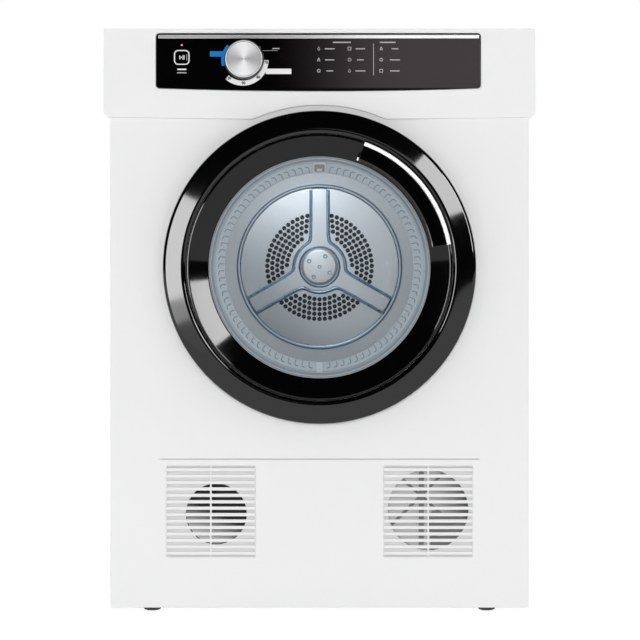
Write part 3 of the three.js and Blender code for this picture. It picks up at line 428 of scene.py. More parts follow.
def settle(piece, name, body, slotName, *stands, finish=None, smooth=32):
    select(piece)
    if not piece.data.materials:
        piece.data.materials.append(finishes[finish or slotName])
    bpy.ops.object.shade_smooth_by_angle(angle=radians(smooth))
    applied(piece, "WEIGHTED_NORMAL", keep_sharp=True, weight=90)
    piece.name = name
    piece.data.name = name
    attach(piece, body)
    if stands:
        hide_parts(*stands)
    return piece


def editAll(piece, kind="VERT", action="SELECT"):
    select(piece)
    bpy.ops.object.mode_set(mode="EDIT")
    bpy.ops.mesh.select_mode(type=kind)
    bpy.ops.mesh.select_all(action=action)


def leaveEdit():
    bpy.ops.object.mode_set(mode="OBJECT")


def tidyMesh(piece, merge=0.004 * mm):
    editAll(piece)
    bpy.ops.mesh.remove_doubles(threshold=merge)
    bpy.ops.mesh.dissolve_degenerate(threshold=merge)
    bpy.ops.mesh.select_all(action="SELECT")
    bpy.ops.mesh.normals_make_consistent(inside=False)
    leaveEdit()
    return piece


def roundEdges(piece, width, steps=2, angle=30):
    return applied(piece, "BEVEL", width=width * mm, segments=steps, limit_method="ANGLE",
                   angle_limit=radians(angle), use_clamp_overlap=True)


# Turns a piece that is modelled lying flat, or about the Y axis, to stand upright, and moves it.
def upright(piece, x, y, z=0):
    select(piece)
    piece.rotation_euler = (pi / 2, 0, 0)
    piece.location = (x * mm, y * mm, z * mm)
    bpy.ops.object.transform_apply(location=True, rotation=True, scale=True)
    return piece


def converted(name, data):
    select(linked(name, data))
    bpy.ops.object.convert(target="MESH")
    return bpy.context.object


def addLine(curve, points, closed=False):
    spline = curve.splines.new("POLY")
    spline.points.add(len(points) - 1)
    for corner, point in zip(spline.points, points):
        corner.co = (*point, 1)
    spline.use_cyclic_u = closed


# Spins a closed section of (radius, depth) points about a line along Y through (x, z).
def turned(section, x=0, z=axisZ, steps=144, start=0, sweep=360, edge=0):
    select()
    bpy.ops.mesh.primitive_circle_add(vertices=len(section), radius=0.01,
                                      fill_type="NGON" if sweep < 360 else "NOTHING")
    piece = bpy.context.object
    for corner, (radius, depth) in zip(piece.data.vertices, section):
        cornerX, cornerZ = polar(radius, start, x, z)
        corner.co = (cornerX * mm, depth * mm, cornerZ * mm)
    editAll(piece)
    bpy.ops.mesh.spin(steps=steps, angle=-radians(sweep), center=(x * mm, 0, z * mm), axis=(0, 1, 0))
    leaveEdit()
    tidyMesh(piece)
    return roundEdges(piece, edge) if edge else piece


def leftTurning(points):
    return sum(a[0] * b[1] - b[0] * a[1] for a, b in zip(points, points[1:] + points[:1])) > 0


def encloses(outline, place):
    x, z = place
    crossings = sum((az > z) != (bz > z) and x < ax + (z - az) / (bz - az) * (bx - ax)
                    for (ax, az), (bx, bz) in zip(outline, outline[1:] + outline[:1]))
    return crossings % 2 == 1


# A flat piece between two depths, cut from outlines of (x, z) points; outlines inside others are holes,
# and they run the other way round so that their edges are rounded inwards.
def plate(outlines, front, back, edge=0, edgeSteps=2):
    curve = bpy.data.curves.new("outline", "CURVE")
    curve.dimensions = "2D"
    curve.fill_mode = "BOTH"
    for points in outlines:
        isHole = sum(encloses(other, points[0]) for other in outlines if other is not points) % 2 == 1
        ordered = points if leftTurning(points) != isHole else points[::-1]
        addLine(curve, [(x * mm, z * mm, 0) for x, z in ordered], closed=True)
    curve.extrude = (abs(back - front) / 2 - edge) * mm
    curve.bevel_depth = edge * mm
    curve.bevel_resolution = edgeSteps
    curve.offset = -edge * mm
    return tidyMesh(upright(converted("plate", curve), 0, (front + back) / 2))


# A plate or a turned piece that is settled as it is made.
def slab(name, body, slotName, outlines, front, back, edge=0, edgeSteps=2, stands=(), finish=None):
    settle(plate(outlines, front, back, edge, edgeSteps), name, body, slotName, *stands, finish=finish)


def spun(name, body, slotName, section, *stands, finish=None, smooth=32, **how):
    settle(turned(section, **how), name, body, slotName, *stands, finish=finish, smooth=smooth)


def joined(*pieces):
    select(*pieces[1:], pieces[0])
    bpy.ops.object.join()
    return pieces[0]


# Opens one side of a solid plate and gives the rest a wall; openings in flat() zones keep no flange.
def openBack(piece, back, wall, flat=lambda centre: False, side=1):
    editAll(piece, "FACE", "DESELECT")
    leaveEdit()
    for face in piece.data.polygons:
        onBack = face.normal.y * side > 0.9 and abs(face.center.y - back * mm) < 0.2 * mm
        face.select = onBack or abs(face.normal.y) < 0.3 and flat(face.center)
    bpy.ops.object.mode_set(mode="EDIT")
    bpy.ops.mesh.delete(type="FACE")
    leaveEdit()
    return tidyMesh(applied(piece, "SOLIDIFY", thickness=wall * mm, offset=-1))


# Whether a face's middle lies in or just beside a box about (x, z).
def beside(centre, x, z, width, height, slack=0.6):
    return abs(centre.x / mm - x) < width / 2 + slack and abs(centre.z / mm - z) < height / 2 + slack


# Gives a piece one finish, and another to the faces that pass a test.
def twoFinishes(piece, main, other, test):
    piece.data.materials.append(finishes[main])
    piece.data.materials.append(finishes[other])
    for face in piece.data.polygons:
        if test(face):
            face.material_index = 1
    return piece


def circle(radius, steps=96, x=0, z=axisZ):
    return arc(radius, 0, 360, steps, x, z)[:-1]


def band(inner, outer, start, end, steps=40, x=0, z=axisZ):
    return arc(outer, start, end, steps, x, z) + arc(inner, end, start, steps, x, z)


def box(x, z, width, height, corner, steps=6):
    right, high = width / 2 - corner, height / 2 - corner
    points = []
    for quarter, (dx, dz) in enumerate(((right, high), (-right, high), (-right, -high), (right, -high))):
        points += arc(corner, quarter * 90, quarter * 90 + 90, steps, x + dx, z + dz)
    return points


def ringOutline(x, z, outer, inner, steps=24):
    return [circle(outer, steps, x, z), circle(inner, steps, x, z)]


# A softened copy of a CAD solid with rounded edges.
def softened(node, width):
    piece = linked(node + "Soft", nodes[node].data.copy())
    editAll(piece)
    bpy.ops.mesh.remove_doubles(threshold=0.01 * mm)
    bpy.ops.mesh.dissolve_limited(angle_limit=radians(1))
    leaveEdit()
    return roundEdges(piece, width)


def camel(name):
    first, *rest = name.split("_")
    return first + "".join(word.capitalize() for word in rest)


print("helpers ready")

# cabinet

cabinet = dict(half=291, low=6, top=716, depth=12, wall=1, edge=0.8, mouth=185)
crease = dict(x=0, z=212.4, width=444, height=1.25)
catchHole = dict(x=201, z=axisZ, width=10, height=24)
grilleX = 151
grilleLook = dict(z=139.7, width=123.8, height=126.9, slots=15, pitch=8.94, slat=4.4, rib=2.3, rim=0.9, edge=0.25)


def frontPanel(half, low, top, depth, wall, edge, mouth):
    outer = [(-half, low), (half, low), (half, top), (-half, top)]
    grilleHoles = [dict(x=x, z=grilleLook["z"], width=grilleLook["width"] + 0.16, height=grilleLook["height"] + 0.16)
                   for x in (-grilleX, grilleX)]
    holes = [circle(mouth, 160), *(box(**hole, corner=1, steps=3) for hole in (*grilleHoles, catchHole)),
             box(**crease, corner=0.3, steps=2)]
    panel = plate([outer, *holes], panelFront, panelFront + depth, edge, 4)
    panel = openBack(panel, panelFront + depth, wall,
                     lambda centre: any(beside(centre, **hole) for hole in (*grilleHoles, catchHole, crease)))
    settle(panel, "frontPanel", "cabinet", "white_steel", "front_panel")


def grille(name, node, x, z, width, height, slots, pitch, slat, rib, rim, edge):
    side = width / 2 - rim - rib / 2
    openings = [box(x + way * (rib + side) / 2, z, side, height - 2 * rim, 0.4, 2) for way in (-1, 1)]
    border = plate([box(x, z, width, height, 1, 3), *openings], panelFront, panelFront + 6, 0.2)
    slats = [plate([box(x, z + (row - (slots - 2) / 2) * pitch, width - 1, slat, 0.2, 2)],
                   panelFront + 0.02, panelFront + 5.9, edge, 3) for row in range(slots - 1)]
    settle(joined(border, *slats), name, "cabinet", "white_plastic", node)


# Pale plates behind the grilles, each with a round opening, greyed a little as painted shade in the recess.
def grilleBacking(name, grilleMiddle, x, z, radius):
    backing = box(grilleMiddle, grilleLook["z"], grilleLook["width"] + 8, grilleLook["height"] + 8, 3, 4)
    slab(name, "cabinet", "white_plastic", [backing, circle(radius, 72, x, z)], -255.6, -253.6, 0.5,
              finish="ventPaintedShade")


fascia = dict(half=300, low=687, radius=225, top=810, step=291, seam=684.4, corner=9, shoulder=747, lean=0.7)
fasciaShell = dict(back=-213, edge=1, wall=2.5)
window = dict(shift=-1.6, half=224.9, low=727.6, sag=3.9, high=803.2, corner=4.5)
trim = dict(x=-1.3, z=798.9, width=444.8, height=4.9, corner=0.8)


def fasciaOutline(half, low, radius, top, step, seam, corner, shoulder, lean):
    meet = degrees(asin((seam - axisZ) / radius))
    return [(-step, low), *arc(radius, 180 - meet, meet, 72), (step, low),
            *arc(corner, -90, 0, 8, half - corner, low + corner), (half, shoulder), (half - lean, top),
            (-half + lean, top), (-half, shoulder), *arc(corner, 180, 270, 8, -half + corner, low + corner)]


def windowOutline(shift, half, low, sag, high, corner, grow=0, steps=32):
    low, high, corner, reach = low - grow, high + grow, corner + grow, half - corner
    along = [-reach + 2 * reach * i / steps for i in range(steps + 1)]
    points = [(x, low - sag * (1 - (x / reach) ** 2)) for x in along]
    points += arc(corner, -90, 0, 6, reach, low + corner)[1:]
    points += arc(corner, 0, 90, 6, reach, high - corner)
    points += arc(corner, 90, 180, 6, -reach, high - corner)
    points += arc(corner, 180, 270, 6, -reach, low + corner)[:-1]
    return [(x + shift, z) for x, z in points]


def controlFascia(back, edge, wall):
    front = plate([fasciaOutline(**fascia), windowOutline(**window, grow=0.5)], fasciaFront, back, edge, 4)
    settle(openBack(front, back, wall), "controlFascia", "cabinet", "white_plastic", "control_fascia")


print("cabinet front")
frontPanel(**cabinet)
creaseStrip = box(crease["x"], crease["z"], crease["width"] + 6, 5, 1, 3)
slab("frontCrease", "cabinet", "white_steel", [creaseStrip], panelFront + 3.5, panelFront + 4.5, 0.2)
grille("leftGrille", "left_grille", -grilleX, **grilleLook)
grille("rightGrille", "right_grille", grilleX, **grilleLook)
grilleBacking("leftBacking", -grilleX, -143.5, 136, 42.25)
grilleBacking("rightBacking", grilleX, 151, 141.5, 56)
controlFascia(**fasciaShell)
for node, width in (("left_side_panel", 0.8), ("right_side_panel", 0.8), ("top_panel", 1)):
    settle(softened(node, width), camel(node), "cabinet", "white_steel", node)

# control window, prints and knobs

button = dict(x=-191, z=770.1, width=21.8, height=20.8, corner=6)
knob = dict(x=-104.6, z=767, face=23.9, rim=25.4)


def controlWindow(x, z, width, height, corner):
    holes = [circle(4.4, 24, knob["x"], knob["z"]), box(x, z, width + 0.6, height + 0.6, corner + 0.3)]
    slab("controlWindow", "cabinet", "black_gloss", [windowOutline(**window), *holes], windowFront,
              fasciaFront + 1, 0.35, stands=["control_window"], finish="windowGloss")


def printed(name, outlines, finish, rise=0.14):
    slab(name, "cabinet", "black_gloss", outlines, windowFront - rise, windowFront + 0.05, finish=finish)


def stroke(points, width):
    left, right = [], []
    for i, (x, z) in enumerate(points):
        before, after = points[max(i - 1, 0)], points[min(i + 1, len(points) - 1)]
        dx, dz = after[0] - before[0], after[1] - before[1]
        size = hypot(dx, dz) or 1
        left.append((x - dz / size * width / 2, z + dx / size * width / 2))
        right.append((x + dz / size * width / 2, z - dx / size * width / 2))
    return left + right[::-1]


def words(text, size, x, z, name, finish):
    data = bpy.data.curves.new(name, "FONT")
    for label, value in dict(body=text, size=size * mm, align_x="CENTER", align_y="CENTER", extrude=0.06 * mm,
                             offset=0.26 * mm).items():
        setattr(data, label, value)
    piece = upright(converted(name, data), x, windowFront - 0.24, z)
    settle(piece, name, "cabinet", "black_gloss", finish=finish)


# Bands: inner and outer radius, start and end angle, steps.
dial = dict(x=-106.5, z=766.8, white=(28.9, 35.8, -1, -132, 48), blue=(24.5, 29.8, 135, 197, 32),
            numbers={"30": -7, "60": -48, "90": -88, "120": -128}, numberRadius=32.4, numberSize=5.2)


def dialPrints(x, z, white, blue, numbers, numberRadius, numberSize):
    printed("dialBandWhite", [band(*white, x, z)], "printWhite")
    printed("dialTabWhite", [box(-56.8, 750.8, 35.6, 7.4, 1, 3)], "printWhite", 0.16)
    printed("dialBandBlue", [band(*blue, x, z)], "printBlue")
    printed("dialTabBlue", [box(-143, 775, 18, 7.4, 0.8, 3)], "printBlue", 0.16)
    for text, angle in numbers.items():
        words(text, numberSize, *polar(numberRadius, angle, x, z), "dialNumber" + text, "printInk")
    printed("dialLine", [box(-68.5, 779.6, 20.5, 0.5, 0.2, 1)], "printGrey")
    printed("dialWord", [box(-60.5, 782.4, 10, 1.5, 0.4, 2)], "printGrey")
    printed("dialSign", ringOutline(-83.8, 783.4, 2, 1.3, 20), "printGrey")


def signOutlines(kind, x, z, size):
    if kind == 0:
        return [[(x, z + reach), *arc(reach * 0.62, 35, -215, 20, x, z - reach * 0.22)]
                for reach in (size, size * 0.62)]
    if kind == 1:
        return [[(x + across * size, z + up * size) for across, up in corners] for corners in (
            ((-0.8, -0.7), (0.8, -0.7), (0.25, 0.9), (-0.25, 0.9)), ((-0.4, -0.4), (0.4, -0.4), (0, 0.3)))]
    if kind == 2:
        return ringOutline(x, z, size * 0.85, size * 0.5)
    if kind == 3:
        return [box(x, z, share * size, share * size, corner, 3) for share, corner in ((1.7, 0.5), (1.1, 0.3))]
    return ringOutline(x, z, size * 0.85, size * 0.6) + [box(x, z, 0.5, 1, 0.15, 2)]


# Generic care signs in three columns, each with a plain bar where a word would be.
signs = dict(columns=(-1, 41.6, 85.6), rows=(782.3, 766.9, 751.6), size=2.9, bars=(14.2, 13, 9.5), barTall=1.5,
             barGap=(15.2, 15.2, 19), headings=((31, 25), (94.6, 22)), headingZ=791,
             divider=(75, 767.2, 0.9, 44, 0.3, 2))


def careSigns(columns, rows, size, bars, barTall, barGap, headings, headingZ, divider):
    for column, x in enumerate(columns):
        for row, z in enumerate(rows):
            kind = (column * 3 + row) % 5
            printed(f"careSign{column}{row}", signOutlines(kind, x, z, size), "printGrey")
            bar = box(x + barGap[column], z - 0.2, bars[(row + column) % 3], barTall, 0.4, 2)
            printed(f"careBar{column}{row}", [bar], "printGrey")
    for number, (x, width) in enumerate(headings):
        printed(f"careHeading{number}", [box(x, headingZ, width, 1.8, 0.5, 2)], "printGrey")
    printed("careDivider", [box(*divider)], "printGrey")


def startButton(x, z, width, height, corner):
    slab("startButton", "button", "black_gloss", [box(x, z, width, height, corner)], windowFront - 0.6,
              -263.6, 0.5, 3, ["start_button"])

    def mark(name, outlines, finish, front=windowFront - 0.72):
        slab(name, "button", "black_gloss", outlines, front, front + 0.2, finish=finish)
    mark("buttonFrame", [box(x, z, 21.4, 20.4, 5.8, 8), box(x, z, 18.7, 17.7, 4.5, 8)], "printWhite")
    mark("buttonLine", [box(x + 6.9, z, 0.8, 9, 0.2, 2)], "printGrey")
    play = [(x - 3.4, z - 3), (x + 0.4, z), (x - 3.4, z + 3)]
    hole = [(x - 2.7, z - 1.7), (x - 0.6, z), (x - 2.7, z + 1.7)]
    bars = [box(x + aside, z, 0.9, 6, 0.2, 2) for aside in (1.7, 3.3)]
    mark("buttonSign", [play, hole, *bars], "printWhite")
    printed("buttonWordHigh", [box(x, 753.6, 12.6, 1.9, 0.5, 2)], "printWhite")
    printed("buttonWordLow", [box(x, 748.9, 13.2, 1.5, 0.5, 2)], "printGrey")
    dome = [(0, -0.5), (0.7, -0.45), (1.1, -0.2), (1.1, 0.1), (0, 0.1)]
    spun("startLamp", "cabinet", "black_gloss", [(radius, windowFront + rise) for radius, rise in dome],
               x=x, z=787.2, steps=24, finish="redLamp")


# Paints four broad fans of highlight and shade into the colour of the knob's spun face, about its middle.
def spunFans(x, z, dark=(0.21, 0.21, 0.213, 1), light=(0.62, 0.62, 0.63, 1)):
    tree = finishes["spunFace"].node_tree
    place = addNode(tree, "Mapping", {"Vector": addNode(tree, "TexCoord").outputs["Object"],
                                      "Location": (-x * mm, 0, -z * mm)})
    split = addNode(tree, "SeparateXYZ", {"Vector": place}).outputs
    turn = mathNode(tree, "ARCTAN2", split["Z"], split["X"])
    fans = mathNode(tree, "COSINE", mathNode(tree, "MULTIPLY", turn, 2))
    sparkle = addNode(tree, "TexNoise", {"W": turn, "Scale": 14, "Detail": 6}, noise_dimensions="1D")
    shade = mathNode(tree, "ADD", mathNode(tree, "MULTIPLY", fans, -0.5), 0.5)
    shade = blended(tree, shade, 0.8, sparkle.outputs[0], 0.25)
    feed(tree, tree.nodes["Principled BSDF"], {"Base Color": mixColour(tree, shade, dark, light)})


def programKnob(x, z, face, rim):
    skirt = [(0, -269.1), (25.4, -269.1), (25.4, -270.6), (27.7, -271.2), (27.7, -273), (rim + 0.2, -296),
             (rim - 0.2, -297.4), (rim - 1, -299.2), (face + 0.4, -299.4), (face + 0.4, -297.6), (0, -297.6)]
    ring = [(face + 0.35, -298), (face + 0.35, -299.7), (rim - 0.7, -299.6), (rim + 0.1, -298.6),
            (rim + 0.15, -297.2), (rim - 0.9, -297.2), (rim - 0.9, -298)]
    spindle = [(0, -297), (3.2, -297), (3.2, -240), (0, -240)]
    cap = [(0, -299.95), (face - 0.5, -299.95), (face, -299.5), (face, -297.9), (0, -297.9)]
    place = dict(x=x, z=z, steps=128)
    spun("knobSkirt", "knob", "black_plastic", skirt, "program_knob", **place, edge=0.3)
    spun("knobRim", "knob", "bright_trim", ring, **place, edge=0.2)
    spun("knobSpindle", "knob", "black_plastic", spindle, x=x, z=z, steps=32, edge=0.2)
    spun("knobFace", "knob", "spun_aluminium", cap, "knob_face", **place, edge=0.15, finish="spunFace")


print("controls")
controlWindow(**button)
slab("trimBar", "cabinet", "bright_trim", [box(**trim, steps=3)], windowFront - 1, windowFront - 0.2,
          0.35, 3, ["trim_bar"], "brushedBar")
dialPrints(**dial)
careSigns(**signs)
startButton(**button)
spunFans(knob["x"], knob["z"])
programKnob(**knob)

# door


# Cuts the hinge's room out of a ring, between two X and two Y values in metres.
def hollowed(ring, spanX, spanY, tall=0.068):
    select()
    bpy.ops.mesh.primitive_cube_add(size=1, location=(sum(spanX) / 2, sum(spanY) / 2, axisZ * mm))
    block = bpy.context.object
    block.dimensions = (spanX[1] - spanX[0], spanY[1] - spanY[0], tall)
    bpy.ops.object.transform_apply(location=True, rotation=True, scale=True)
    applied(ring, "BOOLEAN", operation="DIFFERENCE", object=block)
    bpy.data.objects.remove(block)
    return ring


def doorHandle(**turn):
    spun("doorHandle", "door", "black_gloss", [
        (157, -286.3), (157, -294.2), (157.4, -295.1), (158.4, -295.7), (160, -296), (170, -296), (178.2, -296),
        (178.7, -295.5), (178.7, -286.3),
    ], "door_handle", **turn)
    spun("handleTrim", "door", "bright_trim", [
        (179, -286.3), (179, -293.7), (179.3, -294), (184.1, -294), (184.5, -293.6), (184.5, -286.3),
    ], "handle_trim", **turn)
    # A thin bright sliver at the handle's upper end stands in for the highlight on its inner corner: a painted
    # highlight.
    slab("handleTick", "door", "bright_trim", [band(156.8, 161, 70.1, 71, 3)], -295.6, -287, 0.1, 1)


lint = dict(inner=131, outer=147, front=-264, back=-240)
hooks = dict(count=88, foot=131.8, bend=138.4, top=140.2, thick=1.15, highGap=6, lowGap=5.5)


# Outlines for a ring of hooked ribs, with a gap for the catch at the top and for the stop at the bottom.
def hookOutlines(count, foot, bend, top, thick, highGap, lowGap):
    outlines = []
    pitch = 360 / count
    for i in range(count):
        angle = 90 + pitch / 2 + i * pitch
        lean = pitch if angle < 270 else -pitch
        path = ((foot, 0), (bend, 0), (bend + 1.2, 0.1), (top, 0.28), (top, 0.52))
        if highGap <= abs((angle + 90) % 360 - 180) <= 180 - lowGap:
            outlines.append(stroke([polar(radius, angle + lean * share) for radius, share in path], thick))
    return outlines


def lintFilter(inner, outer, front, back):
    def part(name, outlines, near, far, edge, steps=2, slotName="filter_plastic", finish=None):
        slab(name, "filter", slotName, outlines, front + near, front + far, edge, steps, finish=finish)
    # The hooked ribs are coloured darker than the filter as painted shade.
    part("lintRibs", hookOutlines(**hooks), 0.2, 3.6, 0.2, 1, finish="filterRibPaintedShade")
    part("lintBead", [circle(145.4, 176), circle(144.2, 176)], 1.6, 3.8, 0.5)
    tub = turned([
        (inner, front), (inner + 1.2, front), (inner + 1.4, front + 3.4), (outer - 1.4, front + 3.4),
        (outer - 1.2, front), (outer, front), (outer, front + 2), (153.2, front + 2), (153.2, front + 3.5),
        (outer, front + 3.5), (outer, back), (outer - 1.4, back), (outer - 1.4, front + 5),
        (inner + 1.4, front + 5), (inner + 1.4, back), (inner, back),
    ], steps=160, edge=0.3)
    twoFinishes(tub, "filter_plastic", "filterRim", lambda face: abs(face.center.y / mm - front - 2) < 0.1)
    settle(tub, "lintFilter", "filter", "filter_plastic", "lint_filter")
    part("lintCatch", [box(0, axisZ + 138.5, 18, 17, 1.5, 3)], -1.6, 1, 0.6)
    hook = [box(0, axisZ + 137.5, 14, 10, 1.2, 3), box(0, axisZ + 134.5, 7, 5, 1, 3)]
    part("lintHook", hook, -3.2, -1.4, 0.5, slotName="grey_plastic", finish="guardShade")
    part("lintTongue", [box(0, axisZ + 144.4, 17, 2.6, 0.8, 3)], -3, -1.2, 0.5, slotName="grey_plastic")
    part("lintStop", [box(0, axisZ - 139, 9.5, 15.5, 1, 3)], -1.6, 1, 0.5)


print("door")
ring = turned([
    (185.5, -272), (185.5, -286.4), (186.1, -288.4), (187.5, -289.6), (189.6, -290), (193, -289.85),
    (197, -289.6), (201, -289.27), (205, -288.87), (209, -288.4), (212.5, -287.95), (214.7, -287.6),
    (216, -286.6), (216.8, -285), (217, -283), (217, -264.3), (215, -264.3), (215, -283.2), (213.6, -285.2),
    (209, -286.2), (200, -287.2), (191, -287.8), (188.6, -286.6), (187.6, -284), (187.6, -272),
], steps=192)
ring = hollowed(ring, (-0.224, -0.213), (-0.2834, -0.24))
ring = hollowed(ring, (-0.2131, -0.186), (-0.2859, -0.24))
settle(ring, "doorRing", "door", "black_gloss", "door_outer_ring")
spun("doorBezel", "door", "black_gloss", [
    (153.7, -276.8), (154.1, -277.4), (155.2, -277.9), (180.4, -285.25), (181.2, -285.45), (182.4, -285.55),
    (183.8, -285.2), (184.7, -284), (184.7, -272), (182.5, -272), (182.5, -283.2), (180, -282.6),
    (156, -275.6), (153.7, -275.2),
], "door_inner_bezel", steps=192, finish="bezelGloss")
doorHandle(start=70, sweep=60, steps=64, edge=0.2)
spun("doorGlass", "door", "clear_window", [
    (0, -208), (60, -209), (96, -211.2), (104, -213.2), (109.5, -217), (112.8, -223), (119, -243), (126, -265),
    (128.5, -271), (130.5, -273.2), (134, -273.5), (153.4, -273.5), (153.4, -276.5), (131, -276.5),
    (128, -275.8), (125.8, -273), (123, -265), (116, -243), (109.6, -223), (106.5, -218.8), (101.5, -216),
    (94, -214.4), (60, -212.4), (0, -211.5),
], "door_glass", steps=160, smooth=50)
back = hollowed(turned([
    (152.8, -273), (156.7, -273), (156.7, -268.5), (213, -268.5), (213, -265.2), (172.4, -265.2),
    (172.2, -248.5), (171, -247), (169.6, -247.2), (169, -249), (169, -264.5), (167.6, -265.4),
    (152.8, -265.4),
]), (-0.224, -0.186), (-0.295, -0.205))
settle(back, "doorBackFrame", "door", "grey_plastic", "door_back_frame")
bead = [(150.3, -277.5), (150.9, -277.9), (151.5, -277.5), (151.5, -276.7), (150.3, -276.7)]
spun("glassBead", "door", "filter_plastic", bead)
spun("doorSeal", "door", "seal_rubber", [
    (176, -264.7), (183, -264.7), (183.2, -263), (182.4, -260.2), (180.5, -258.6), (178.3, -258.4),
    (176.6, -260), (176, -262.6),
], "door_seal")
lintFilter(**lint)

# drum

# Rows of holes: radius and half the angle they cover.
drum = dict(disc=119, spokeHalf=11.6, hubCurve=37.5, face=208.4, floor=211.6, pitch=7.75, hole=3.35,
            rows=((48.4, 27), (55.7, 39), (62.9, 42), (70.2, 44.5), (77.5, 46.5)))
spokes = (90, 210, 330)
inDrum = ("drum", "drum_steel")


# Points round the hub from one spoke's side to the next one's, with soft inner corners.
def spokeSide(spoke, spokeHalf, hubCurve, reach, steps=72, softness=7):
    least = degrees(asin(spokeHalf / reach))
    points = []
    for i in range(steps + 1):
        away = least + (120 - 2 * least) * (0.5 - 0.5 * cos(pi * i / steps))
        straight = spokeHalf / sin(radians(min(away, 120 - away)))
        radius = min((hubCurve ** softness + straight ** softness) ** (1 / softness), reach)
        points.append(polar(radius, spoke + away))
    return points


# The raised plate's outline: three spokes run into a round hub.
def spokeOutline(spokeHalf, hubCurve, reach):
    points = []
    least = degrees(asin(spokeHalf / reach))
    for spoke in spokes:
        points += arc(reach, spoke - least, spoke + least, 6)
        points += spokeSide(spoke, spokeHalf, hubCurve, reach, 60)[1:-1]
    return points


# A rounded pressed bead that follows a line of (x, z) points on the drum's back, coloured darker blue as painted
# shade.
def pressedBead(name, points, width=2.5, depth=208.9):
    curve = bpy.data.curves.new(name, "CURVE")
    curve.dimensions = "3D"
    addLine(curve, [(x * mm, depth * mm, z * mm) for x, z in points])
    curve.bevel_depth = width * mm
    curve.bevel_resolution = 4
    curve.use_fill_caps = True
    piece = roundEdges(tidyMesh(converted(name, curve)), 1.2, angle=60)
    settle(piece, name, *inDrum, finish="drumEdgePaintedShade")


# Faces at the feet of the rim's bead, which are painted darker blue as painted shade.
def inPaintedGrooveShade(face):
    reach = hypot(face.center.x, face.center.z - axisZ * mm) / mm
    return reach < 117.8 or 121.3 < reach < 122.4


def drumBack(disc, spokeHalf, hubCurve, face, floor, pitch, hole, rows):
    holes = []
    for sector in (30, 150, 270):
        for radius, half in rows:
            count = round(radians(2 * half) * radius / pitch)
            angles = [sector - half + 2 * half * i / count for i in range(count + 1)]
            holes += [circle(hole, 12, *polar(radius, angle)) for angle in angles]
    sheet = plate([circle(disc, 144), *holes], floor, floor + 1)
    # The walls of the holes are painted near black: painted shadow.
    twoFinishes(sheet, "drum_steel", "paintedRecessShadow", lambda side: abs(side.normal.y) < 0.5)
    settle(sheet, "drumBackSheet", *inDrum, "drum_back")
    # A near-black plate behind the holes stands in for the dark space behind the drum: a painted shadow.
    spun("drumBackPaintedShadow", *inDrum, [(45, 216.9), (112, 216.9), (112, 217.7), (45, 217.7)],
               steps=96, edge=0.1, finish="paintedRecessShadow")
    rim = turned([
        (116.3, 211.9), (117.2, 210.8), (118.4, 210.2), (119.8, 210), (121, 210.4), (122, 211.6),
        (122.8, 212.1), (127, 212.2), (272.7, 212.6), (272.7, 216.5), (134, 216.5), (124, 213.6), (119, 213.6),
        (116.3, 214.2),
    ], steps=160)
    settle(twoFinishes(rim, "drumRim", "drumEdgePaintedShade", inPaintedGrooveShade), "drumBackRim", *inDrum)
    for number, spoke in enumerate(spokes):
        pressedBead(f"drumBead{number + 1}", spokeSide(spoke, spokeHalf + 0.9, hubCurve + 0.4, 114.5))
    top = plate([spokeOutline(spokeHalf, hubCurve - 0.5, 116.5)], face - 1.2, floor + 0.4, 1.6, 3)
    # The plate's sloped edges are painted darker blue as painted shade.
    twoFinishes(top, "drum_steel", "drumEdgePaintedShade", lambda side: abs(side.normal.y) < 0.75)
    settle(top, "drumSpokes", *inDrum)


# The hub with its groove, four rivets at a radius and angles, and the bolt; the groove, rivets and bolt are painted
# darker blue as painted shade.
def drumHub(radius, angles):
    hub = [(0, 204), (22.5, 204.2), (25.6, 205), (27.2, 206.6), (27.3, 208.6), (0, 208.6)]
    groove = [(28, 207.6), (28.4, 205.6), (29.4, 205), (30.6, 205.6), (31.2, 207.6)]
    rivet = [(1.4, 204.2), (1.8, 203.3), (2.7, 203.2), (3.4, 204.2)]
    bolt = [(1.2, 204.2), (1.5, 203), (2.5, 203), (3, 204.2)]
    spun("drumHub", *inDrum, hub, "drum_hub", steps=96, finish="hubSteel")
    spun("hubGroove", *inDrum, groove, steps=96, finish="drumEdgePaintedShade")
    for number, angle in enumerate(angles):
        x, z = polar(radius, angle)
        spun(f"hubRivet{number + 1}", *inDrum, rivet, x=x, z=z, steps=24, finish="drumEdgePaintedShade")
    spun("hubBolt", "drum", "machined_steel", bolt, steps=24, finish="drumEdgePaintedShade")


print("drum")
drumBack(**drum)
drumHub(17.5, (61, 152, 241, 329))
spun("drumShell", *inDrum, [
    (255, -222), (271, -222), (273, -221.2), (274, -219), (274, -52), (272.6, -50), (272.6, 20), (274, 22),
    (274, 218), (273, 218), (273, 23), (271.6, 20.6), (271.6, -50.6), (273, -53), (273, -218.5), (272, -220.6),
    (270.6, -221), (255, -221),
], "drum_shell", steps=160)

# behind the grilles

# Arms: their angle and how far they pass beside the middle.
shield = dict(x=151, z=141.5, radius=57.5, face=-250.6, width=4.2, arms=((45, 21), (138, -8)))


